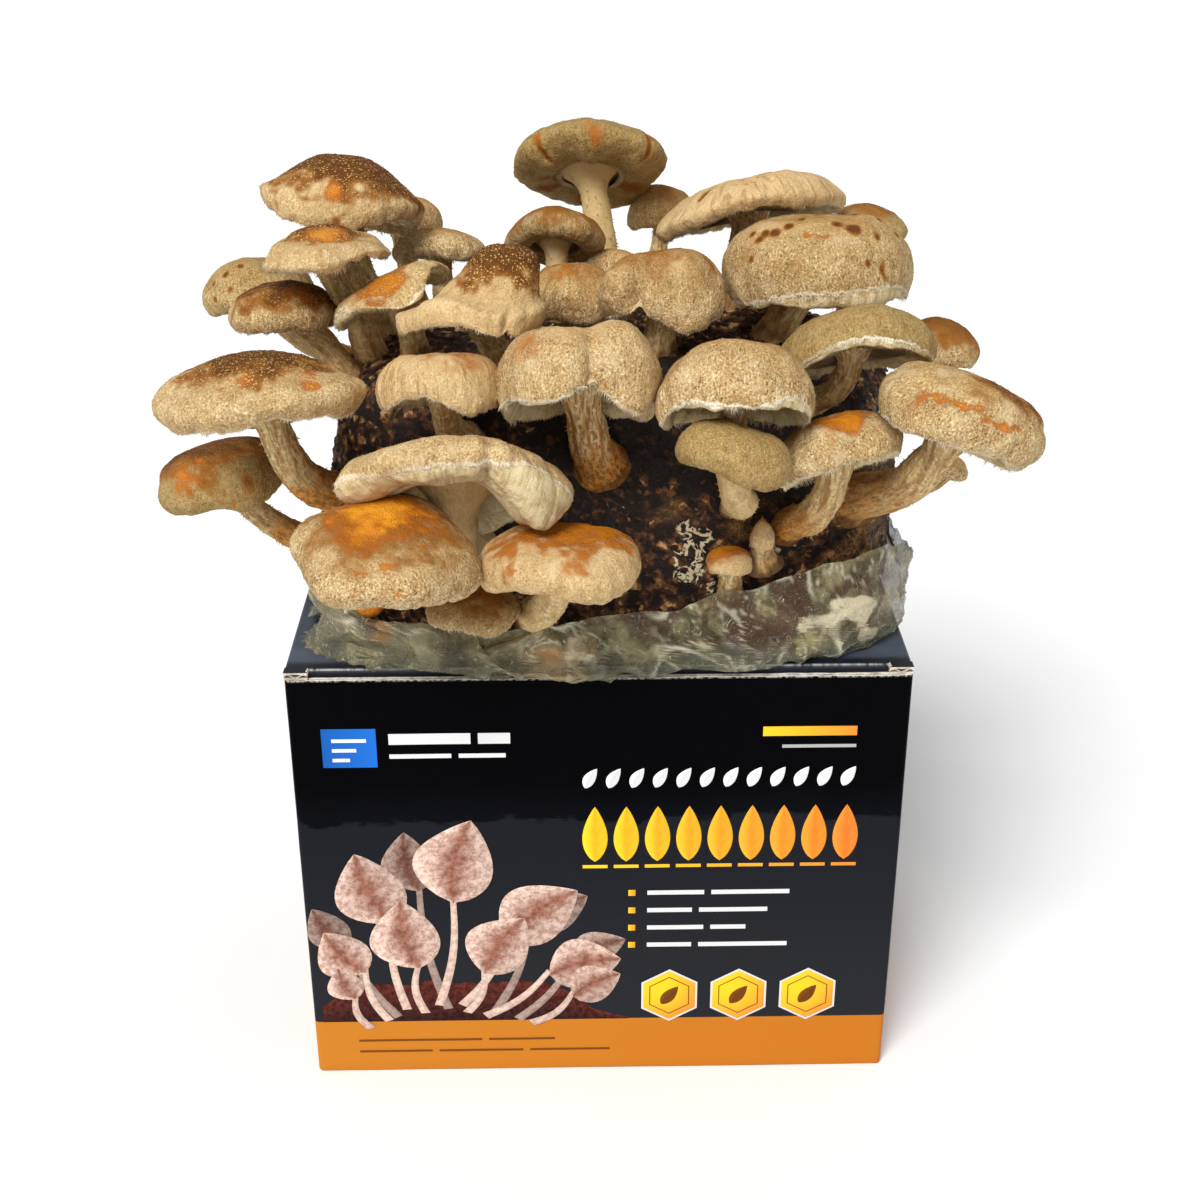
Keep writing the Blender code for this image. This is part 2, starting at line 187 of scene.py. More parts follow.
class Piece:
    """Gathers the grids of one piece, with the values that its materials read at each point."""

    def __init__(self):
        self.points = []
        self.faces = {3: [], 4: []}
        self.looks = {3: [], 4: []}
        self.values = {}
        self.count = 0

    def add(self, points, faces, look=0, **values):
        points = points.reshape(-1, 3)
        size = faces.shape[-1]
        self.faces[size].append(faces.reshape(-1, size) + self.count)
        self.looks[size].append(np.full(len(faces.reshape(-1, size)), look))
        for name, value in values.items():
            self.values.setdefault(name, []).append((self.count, np.asarray(value, float)))
        self.points.append(points)
        self.count += len(points)

    def add_grid(self, grid, look=0, closed=True, **values):
        self.add(grid, grid_faces(*grid.shape[:2], closed=closed), look, **values)

    def build(self, name, looks, smooth=True):
        mesh = bpy.data.meshes.new(name)
        points = np.concatenate(self.points) * MM
        faces = [np.concatenate(self.faces[size]) for size in (3, 4) if self.faces[size]]
        slots = [np.concatenate(self.looks[size]) for size in (3, 4) if self.faces[size]]
        sizes = np.concatenate([np.full(len(rows), rows.shape[1]) for rows in faces])
        mesh.vertices.add(len(points))
        mesh.vertices.foreach_set("co", points.astype(np.float32).ravel())
        mesh.loops.add(int(sizes.sum()))
        mesh.loops.foreach_set("vertex_index", np.concatenate([rows.ravel() for rows in faces]))
        mesh.polygons.add(len(sizes))
        mesh.polygons.foreach_set("loop_start", np.concatenate(([0], np.cumsum(sizes)[:-1])))
        mesh.polygons.foreach_set("material_index", np.concatenate(slots).astype(np.int32))
        mesh.polygons.foreach_set("use_smooth", np.full(len(sizes), smooth))
        for look in looks:
            mesh.materials.append(look)
        for value_name, parts in self.values.items():
            self.write_value(mesh, value_name, parts)
        mesh.update(calc_edges=True)
        mesh.validate()
        made = bpy.data.objects.new(name, mesh)
        bpy.context.scene.collection.objects.link(made)
        return made

    def write_value(self, mesh, name, parts):
        vector = parts[0][1].ndim == 2
        whole = np.zeros((self.count, 3) if vector else self.count)
        for start, part in parts:
            whole[start:start + len(part)] = part
        kind = "FLOAT_VECTOR" if vector else "FLOAT"
        attribute = mesh.attributes.new(name, kind, "POINT")
        attribute.data.foreach_set("vector" if vector else "value", whole.astype(np.float32).ravel())


def grid_faces(rows, columns, closed=True):
    """Quads of a grid of points, row after row; a closed grid joins its last column to its first."""
    last = columns if closed else columns - 1
    row, column = np.meshgrid(np.arange(rows - 1), np.arange(last), indexing="ij")
    after = (column + 1) % columns
    here = row * columns
    below = here + columns
    return np.stack([here + column, below + column, below + after, here + after], axis=-1)


def alike_faces(count, corners, sides):
    """Faces of many alike small solids, each with so many corners and with the given sides."""
    first = corners * np.arange(count)[:, None]
    return np.stack([first + np.array(side) for side in sides], axis=1).reshape(-1, len(sides[0]))


def down_at(grid, row, column):
    """The way down a grid of points at some of its places."""
    return unit(grid[row + 1, column] - grid[row - 1, column])


def grid_normals(grid, closed=True):
    down = np.gradient(grid, axis=0)
    if closed:
        across = np.roll(grid, -1, axis=1) - np.roll(grid, 1, axis=1)
    else:
        across = np.gradient(grid, axis=1)
    normal = np.cross(down, across)
    length = np.linalg.norm(normal, axis=-1, keepdims=True)
    return normal / np.maximum(length, 1e-9)


def upsample(rings, count):
    """More points round each ring, on the smooth closed curve through the ones it has."""
    spectrum = np.fft.rfft(rings, axis=1)
    had = rings.shape[1]
    spectrum[:, -1] *= 0.5
    return np.fft.irfft(spectrum, n=count, axis=1) * (count / had)


def smooth_through(rows, knots, at):
    """Rows at the given places of the smooth curves through some rows, which lie at the knots."""
    spans = np.diff(knots)[:, None, None]
    slopes = np.diff(rows, axis=0) / spans
    middle = (slopes[:-1] * spans[1:] + slopes[1:] * spans[:-1]) / (spans[:-1] + spans[1:])
    tangents = np.concatenate((slopes[:1], middle, slopes[-1:]))
    span = np.clip(np.searchsorted(knots, at, side="right") - 1, 0, len(knots) - 2)
    width = np.diff(knots)[span][:, None, None]
    way = ((at - knots[span]) / np.diff(knots)[span])[:, None, None]
    start = rows[span] * (1 + 2 * way) * (1 - way) ** 2 + tangents[span] * width * way * (1 - way) ** 2
    end = rows[span + 1] * way ** 2 * (3 - 2 * way) + tangents[span + 1] * width * way ** 2 * (way - 1)
    return start + end


def knots_of(rows):
    """Distance along the curves, at each row."""
    steps = np.linalg.norm(np.diff(rows, axis=0), axis=2).mean(axis=1)
    return np.concatenate(([0.0], np.cumsum(steps)))


# Reading the modelled solids

def merged(node):
    """The corner points of a solid in millimetres, and which of them are joined by an edge."""
    mesh = node.data
    points = np.array([vertex.co for vertex in mesh.vertices]) / MM
    corners, where = np.unique(np.round(points, 3), axis=0, return_inverse=True)
    where = where.ravel()
    links = [set() for _ in corners]
    for face in mesh.polygons:
        around = [int(where[number]) for number in face.vertices]
        for one, other in zip(around, around[1:] + around[:1]):
            links[one].add(other)
            links[other].add(one)
    return corners, links


def layers_from(start, links):
    seen = {start}
    layer = {start}
    layers = []
    while layer:
        layers.append(sorted(layer))
        layer = set().union(*(links[number] for number in layer)) - seen
        seen |= layer
    return layers


def whole_rings(layers):
    """The layers after the first, for as long as they have the same number of points."""
    rings = []
    for layer in layers[1:]:
        if len(layer) != len(layers[1]):
            break
        rings.append(layer)
    return rings


def ring_order(points, up, across):
    """The order of a ring's points round an axis, starting from the direction across."""
    along = np.cross(up, across)
    away = points - points.mean(axis=0)
    angle = np.arctan2(away @ along, away @ across) % (2 * pi)
    half_step = pi / len(points)
    angle = (angle + half_step) % (2 * pi)
    return np.argsort(angle)


def level_rings(rings):
    """The points of level rings, all in the same order round the upright."""
    return np.array([ring[ring_order(ring, UP, RIGHT)] for ring in rings])


def read_fan(node, least_sides, lowest=False):
    """Rings of a lofted solid, read outwards from the middle of one of its ends."""
    corners, links = merged(node)
    best = []
    for number, near in enumerate(links):
        if len(near) < least_sides or any(len(links[other] & near) != 2 for other in near):
            continue
        layers = layers_from(number, links)
        rings = whole_rings(layers)
        height = corners[number][2] * (-1 if lowest else 1)
        best.append((len(rings), height, number, rings))
    best.sort(key=lambda item: (item[1], item[0]) if lowest else (item[0], item[1]))
    _, _, apex, rings = best[-1]
    used = {number for ring in rings for number in ring} | {apex}
    rest = [point for number, point in enumerate(corners) if number not in used]
    return corners[apex], [corners[ring] for ring in rings], np.array(rest).reshape(-1, 3)


def plane_normal(points, towards):
    _, _, axes = np.linalg.svd(points - points.mean(axis=0))
    normal = axes[2]
    return normal if normal @ towards > 0 else -normal


def direction_across(up):
    across = RIGHT - up * up[0]
    return across / np.linalg.norm(across)


class MushroomShape:
    """Where a modelled mushroom's rings are, in order round the cap's axis and the stem."""

    def __init__(self, node):
        self.apex, rings, rest = read_fan(node, 8)
        if len(rings) <= RING_STEM_TOP:
            raise ValueError(f"{node.name} has only {len(rings)} whole rings")
        stem_top = rings[RING_STEM_TOP]
        self.hub = stem_top.mean(axis=0)
        self.up = plane_normal(stem_top, self.apex - self.hub)
        self.across = direction_across(self.up)
        cap = rings[:RING_STEM_TOP + 1]
        self.cap_rings = np.array([ring[ring_order(ring, self.up, self.across)] for ring in cap])
        stem = [self.cap_rings[-1]]
        for ring in rings[RING_STEM_TOP + 1:]:
            ahead = plane_normal(ring, stem[-1].mean(axis=0) - ring.mean(axis=0))
            stem.append(ring[ring_order(ring, ahead, direction_across(ahead))])
        foot = rest.mean(axis=0)
        last = stem[-1].mean(axis=0)
        way = (foot - last) / np.linalg.norm(foot - last)
        own = stem[-1] - last
        for share, wider in ((0.55, 1.08), (1.0, 1.28)):
            stem.append(foot * share + last * (1 - share) + own * wider)
        stem.append(foot + way * STEM_SUNK + own * 1.5)
        self.stem_rings = np.array(stem)
        rim = self.cap_rings[RING_RIM]
        self.radius = np.linalg.norm(rim - rim.mean(axis=0), axis=1).mean()
        self.thickness = 2 * np.linalg.norm(own, axis=1).mean()


# Node graphs

# A Mix node's sockets for numbers and for colours: its two inputs and its output
MIX_SOCKETS = {"FLOAT": (2, 3, 0), "RGBA": (6, 7, 2)}


class Graph:
    """A material's node graph, built by short calls that give back sockets."""

    def __init__(self, name):
        self.material = bpy.data.materials.new(name)
        self.material.use_nodes = True
        self.tree = self.material.node_tree
        self.shader = self.tree.nodes["Principled BSDF"]

    def put(self, socket, value):
        if isinstance(value, bpy.types.NodeSocket):
            self.tree.links.new(value, socket)
        elif isinstance(value, tuple) and len(value) == 3 and socket.type == "RGBA":
            socket.default_value = (*value, 1.0)
        else:
            socket.default_value = value

    def set(self, **values):
        for name, value in values.items():
            self.put(self.shader.inputs[name.replace("_", " ").title().replace("Ior", "IOR")], value)
        return self.material

    def node(self, kind, inputs, **settings):
        """A new node of a kind, with its settings and with some of its inputs filled."""
        node = self.tree.nodes.new("ShaderNode" + kind)
        for name, value in settings.items():
            setattr(node, name, value)
        for socket, value in inputs.items():
            self.put(node.inputs[socket], value)
        return node

    def value(self, name, output="Fac"):
        return self.node("Attribute", {}, attribute_name=name).outputs[output]

    def vector(self, name):
        return self.value(name, "Vector")

    def place(self):
        return self.node("TexCoord", {}).outputs["Object"]

    def stretched(self, vector, scale):
        return self.node("VectorMath", {0: vector, 1: scale}, operation="MULTIPLY").outputs[0]

    def noise(self, vector, size, detail=2.0, rough=0.55, warp=0.0):
        inputs = {"Vector": vector, "Scale": 1 / (size * MM)}
        inputs.update({"Detail": detail, "Roughness": rough, "Distortion": warp})
        return self.node("TexNoise", inputs).outputs["Fac"]

    def drawn_out(self, long, size, *kind):
        """Noise drawn out along a mushroom's spokes."""
        return self.noise(self.stretched(self.vector("spoke"), (1.0, 1.0, long)), size, *kind)

    def cells(self, vector, size, output="Distance"):
        return self.node("TexVoronoi", {"Vector": vector, "Scale": 1 / (size * MM)}).outputs[output]

    def math(self, operation, first, second=0.0, clamp=False):
        settings = {"operation": operation, "use_clamp": clamp}
        return self.node("Math", {0: first, 1: second}, **settings).outputs[0]

    def times(self, first, second):
        return self.math("MULTIPLY", first, second)

    def most(self, first, second):
        return self.math("MAXIMUM", first, second)

    def ramp(self, value, low, high, bottom=0.0, top=1.0):
        inputs = {"Value": value, "From Min": low, "From Max": high, "To Min": bottom, "To Max": top}
        return self.node("MapRange", inputs, interpolation_type="SMOOTHSTEP").outputs[0]

    def between(self, kind, factor, first, second):
        one, other, out = MIX_SOCKETS[kind]
        return self.node("Mix", {0: factor, one: first, other: second}, data_type=kind).outputs[out]

    def mix(self, factor, first, second):
        """A colour between two others."""
        return self.between("RGBA", factor, first, second)

    def blend(self, factor, first, second):
        """A number between two others."""
        return self.between("FLOAT", factor, first, second)

    def sum(self, *terms):
        """The sum of sockets and of (socket, factor) pairs."""
        total = 0.0
        for term in terms:
            socket = self.times(*term) if isinstance(term, tuple) else term
            total = self.math("ADD", socket, total)
        return total

    def parts(self, vector):
        return self.node("SeparateXYZ", {0: vector}).outputs

    def coats(self, colour, *coats):
        """A colour with others over it, each given as how much of it there is and which it is."""
        for share, over in coats:
            colour = self.mix(share, colour, over)
        return colour

    def bump(self, height, distance, strength=1.0):
        inputs = {"Strength": strength, "Distance": distance * MM, "Height": height}
        return self.node("Bump", inputs).outputs[0]


# Materials of the mushrooms

TAN = paint(190, 158, 108)
TAN_LIGHT = paint(242, 222, 174)
TAN_DARK = paint(112, 82, 42)
OLIVE = paint(128, 102, 56)
OLIVE_LIGHT = paint(178, 150, 92)
WARM = paint(200, 152, 82)
PALE = paint(232, 198, 144)
BROWN = paint(100, 56, 14)
TAWNY = paint(146, 90, 26)
AMBER_SKIN = paint(240, 162, 40)
ORANGE = paint(212, 128, 26)
BURNT = paint(174, 98, 24)
FUZZ = paint(246, 236, 212)
CREAM = paint(226, 208, 164)


def flecks_of(graph, place, size, share):
    """Small uneven flecks, one in some of the cells."""
    uneven = graph.sum(graph.cells(place, size), (graph.noise(place, 0.9, 1.0), 0.5), -0.25)
    dot = graph.ramp(uneven, 0.40, 0.24)
    chosen = graph.parts(graph.cells(place, size, "Color"))[0]
    return graph.times(dot, graph.ramp(chosen, 1.0 - share, 1.04 - share))


def cap_look():
    """Suede of fine pale hairs over tan skin, with brown crowns and bare orange patches."""
    graph = Graph("cap")
    place = graph.place()
    edge = graph.value("edge")
    lip = graph.value("lip")
    tone = graph.value("tone")
    grain = graph.noise(place, 0.75, 2.5, 0.75)
    strokes = graph.drawn_out(0.45, 0.7, 2.0, 0.6)
    hairs = graph.blend(graph.ramp(edge, 0.3, 0.8, 0.0, 0.35), grain, strokes)
    felt = graph.noise(place, 4.0, 3.0, 0.6)
    blotch = graph.noise(place, 14.0, 3.0, 0.6)
    shade = graph.sum((hairs, 0.7), (felt, 0.2), (blotch, 0.1))
    colour = graph.mix(graph.ramp(shade, 0.40, 0.495), TAN_DARK, TAN)
    colour = graph.mix(graph.ramp(shade, 0.50, 0.59), colour, TAN_LIGHT)
    crown = graph.ramp(edge, 0.95, 0.25)
    colour = graph.mix(graph.times(crown, graph.ramp(blotch, 0.3, 0.65, 0.35, 0.85)), colour, WARM)
    stain = graph.noise(place, 8.0, 3.0, 0.6)
    colour = graph.coats(
        colour,
        (graph.ramp(stain, 0.50, 0.74, 0.0, 0.6), paint(160, 112, 60)),
        (graph.ramp(stain, 0.48, 0.28, 0.0, 0.55), paint(232, 210, 168)))
    olive = graph.mix(graph.ramp(shade, 0.36, 0.60), OLIVE, OLIVE_LIGHT)
    colour = graph.coats(
        colour,
        (graph.ramp(tone, 0.0, -1.0, 0.0, 0.9), olive),
        (graph.ramp(tone, 0.0, 1.0, 0.0, 0.6), PALE))
    streaks = graph.drawn_out(0.16, 2.2, 3.0, 0.6)
    streak = graph.times(graph.ramp(streaks, 0.50, 0.64), graph.value("streak"))
    colour = graph.mix(streak, colour, TAWNY)
    ragged = graph.sum((hairs, 0.25), (felt, 0.35), (blotch, 0.4), -0.5)
    brown = graph.sum(graph.value("brown"), (ragged, 1.1))
    colour = graph.coats(
        colour,
        (graph.ramp(brown, 0.18, 0.62, 0.0, 0.95), TAWNY),
        (graph.ramp(brown, 0.55, 1.0, 0.0, 0.92), BROWN))
    bare = graph.sum(graph.value("bare"), (ragged, 1.3))
    bald = graph.ramp(bare, 0.32, 0.62)
    colour = graph.coats(
        colour,
        (graph.ramp(bare, 0.12, 0.46, 0.0, 0.88), BURNT),
        (graph.ramp(bare, 0.42, 0.75, 0.0, 0.95), ORANGE),
        (graph.ramp(bare, 0.72, 1.15), AMBER_SKIN))
    white = graph.ramp(graph.sum(graph.value("white"), (hairs, 0.9), (felt, 0.1)), 0.70, 0.80)
    colour = graph.mix(graph.times(white, 0.8), colour, FUZZ)
    specks = graph.sum(graph.noise(place, 3.0, 3.0, 0.6, 0.5), (graph.value("specks"), 0.24))
    colour = graph.coats(
        colour,
        (graph.ramp(specks, 0.73, 0.82, 0.0, 0.7), BURNT),
        (graph.ramp(specks, 0.84, 0.94, 0.0, 0.6), ORANGE))
    flecks = graph.most(flecks_of(graph, place, 1.3, 0.7), flecks_of(graph, place, 0.8, 0.5))
    flecks = graph.times(flecks, graph.value("flecks"))
    colour = graph.mix(graph.times(flecks, 0.8), colour, paint(228, 186, 116))
    under = graph.ramp(lip, 0.4, 1.4)
    ribs = graph.drawn_out(0.05, 1.3, 2.0)
    soft = graph.sum((felt, 0.6), (ribs, 0.4))
    colour = graph.mix(under, colour, graph.mix(graph.ramp(soft, 0.38, 0.58), paint(196, 168, 118), CREAM))
    # Painted shade under the cap: darker beyond the rolled edge
    painted_underside_shade = graph.times(graph.ramp(lip, 2.5, 8.0, 0.0, 0.8), graph.value("painted_underside_shade"))
    colour = graph.mix(painted_underside_shade, colour, paint(104, 72, 40))
    wobble = graph.sum(lip, (graph.noise(place, 2.2, 2.0), 3.4), (felt, 2.4), -2.9)
    line = graph.ramp(graph.math("ABSOLUTE", wobble), 1.1, 0.2)
    colour = graph.mix(graph.times(line, graph.value("frill")), colour, FUZZ)
    height = graph.sum(hairs, (felt, 1.3), (flecks, 0.4))
    return graph.set(
        base_color=colour, roughness=graph.ramp(bald, 0.0, 1.0, 0.85, 0.25),
        normal=graph.bump(height, 1.0, 0.9), specular_ior_level=0.22)


def gill_look():
    graph = Graph("gills")
    place = graph.place()
    fine = graph.noise(place, 1.4, 2.0)
    soft = graph.noise(place, 7.0, 2.0)
    colour = graph.mix(graph.ramp(soft, 0.35, 0.65), paint(204, 178, 132), paint(228, 212, 172))
    # Painted shade: darker between the gill blades and deep under the cap towards the stem
    colour = graph.coats(
        colour,
        (graph.ramp(fine, 0.3, 0.5, 0.3, 0.0), paint(170, 130, 80)),
        (graph.times(graph.value("shade_between_gills"), 0.55), paint(150, 112, 68)),
        (graph.value("deep"), paint(62, 38, 20)))
    return graph.set(
        base_color=colour, roughness=0.8, normal=graph.bump(fine, 0.2, 0.6), specular_ior_level=0.15)


def stem_look():
    """Fibrous and shaggy, pale under the cap and rusty towards the block."""
    graph = Graph("stem")
    place = graph.place()
    shag = graph.value("shag")
    fibres = graph.drawn_out(0.14, 0.85, 2.5, 0.6)
    broad = graph.drawn_out(0.25, 3.5, 2.0)
    scales = graph.noise(place, 2.0, 2.0)
    dark = graph.times(shag, graph.ramp(fibres, 0.56, 0.40))
    colour = graph.mix(dark, paint(208, 180, 126), paint(138, 96, 46))
    scaly = graph.ramp(scales, 0.50, 0.66, 0.0, 0.7)
    scaly = graph.times(scaly, graph.ramp(shag, 0.0, 0.4, 0.1, 1.0))
    colour = graph.coats(
        colour,
        (scaly, paint(236, 218, 180)),
        (graph.times(shag, graph.ramp(broad, 0.50, 0.66)), paint(146, 96, 44)))
    ragged = graph.sum((fibres, 0.6), (scales, 0.8))
    rusty = graph.ramp(graph.sum(graph.value("bare"), ragged), 0.80, 1.5)
    rust = graph.mix(graph.ramp(ragged, 0.55, 0.85), paint(140, 82, 26), paint(208, 136, 42))
    colour = graph.coats(
        colour,
        (graph.times(rusty, 0.85), rust),
        (graph.ramp(graph.value("dirt"), 0.3, 1.0, 0.0, 0.7), paint(74, 42, 24)))
    height = graph.sum((fibres, shag), (scales, 0.8), (rusty, -0.3))
    return graph.set(
        base_color=colour, roughness=0.88, normal=graph.bump(height, 0.7, 0.9), specular_ior_level=0.15)


def fringe_look():
    graph = Graph("fringe")
    shade = graph.noise(graph.place(), 4.0, 2.0)
    colour = graph.mix(graph.ramp(shade, 0.35, 0.65), paint(216, 196, 154), paint(244, 236, 216))
    return graph.set(base_color=colour, roughness=0.95)


# Looks of each mushroom, where they differ from the plain one's. Directions are in degrees round the
# cap, 0 to the right and -90 to the front. Distances and sizes are shares of the way from the crown
# to the rim. A patch is (direction, distance, size, strength)
PLAIN = dict(
    tone=0.0,  # from -1, olive, to 1, pale
    brown=0.15,  # how dark the crown is
    reach=0.9,  # how far down that goes
    bare=(),  # orange patches
    dark=(),  # brown patches; past the rim, as on top_5, painted shade under it
    specks=(),  # patches of small rusty specks
    cracks=(),  # (direction, from distance, to distance)
    arcs=(),  # orange lines round the crown, (distance, from direction, to direction)
    white=0.0,  # how many of the hairs are white
    flecks=0.0,  # pale dots on the crown
    streak=0.1,  # radial streaks
    skin=0.0,  # how far the brown skin goes on under the rim, in millimetres
    frill=0.7,  # white line under the rim
    fringe=1.0,  # threads there
    fur=1.0,  # how furry the skin is
    under=0.75,  # how dark the painted shade is under the rim and deep in the gills
    gills=1.0,  # how deep the gills are, and how much painted shade lies between them
    roll=0.0,  # how far the rim rolls in
    thin=0.0,  # how much thinner the rim is than it was modelled
    waves=(),  # where the rim hangs lower, (direction, degrees, millimetres)
    flap=(),  # where only its rolled edge does, the same
    turned=(),  # where the rim turns up and its underside shows, the same
    swell=(),  # (direction, distance, size, millimetres)
    waist=(),  # rings that stand in or out, (distance, width, millimetres)
    grooves=(),  # (direction, from distance, to distance, width, depth in millimetres)
    rust=0.35,  # how far up the stem is rusty
    shag=0.6,  # how rough the stem is
    flare=0.12,  # how much it widens under the cap
    foot=1.0,  # how wide it is at the block, as a share of what was modelled
)
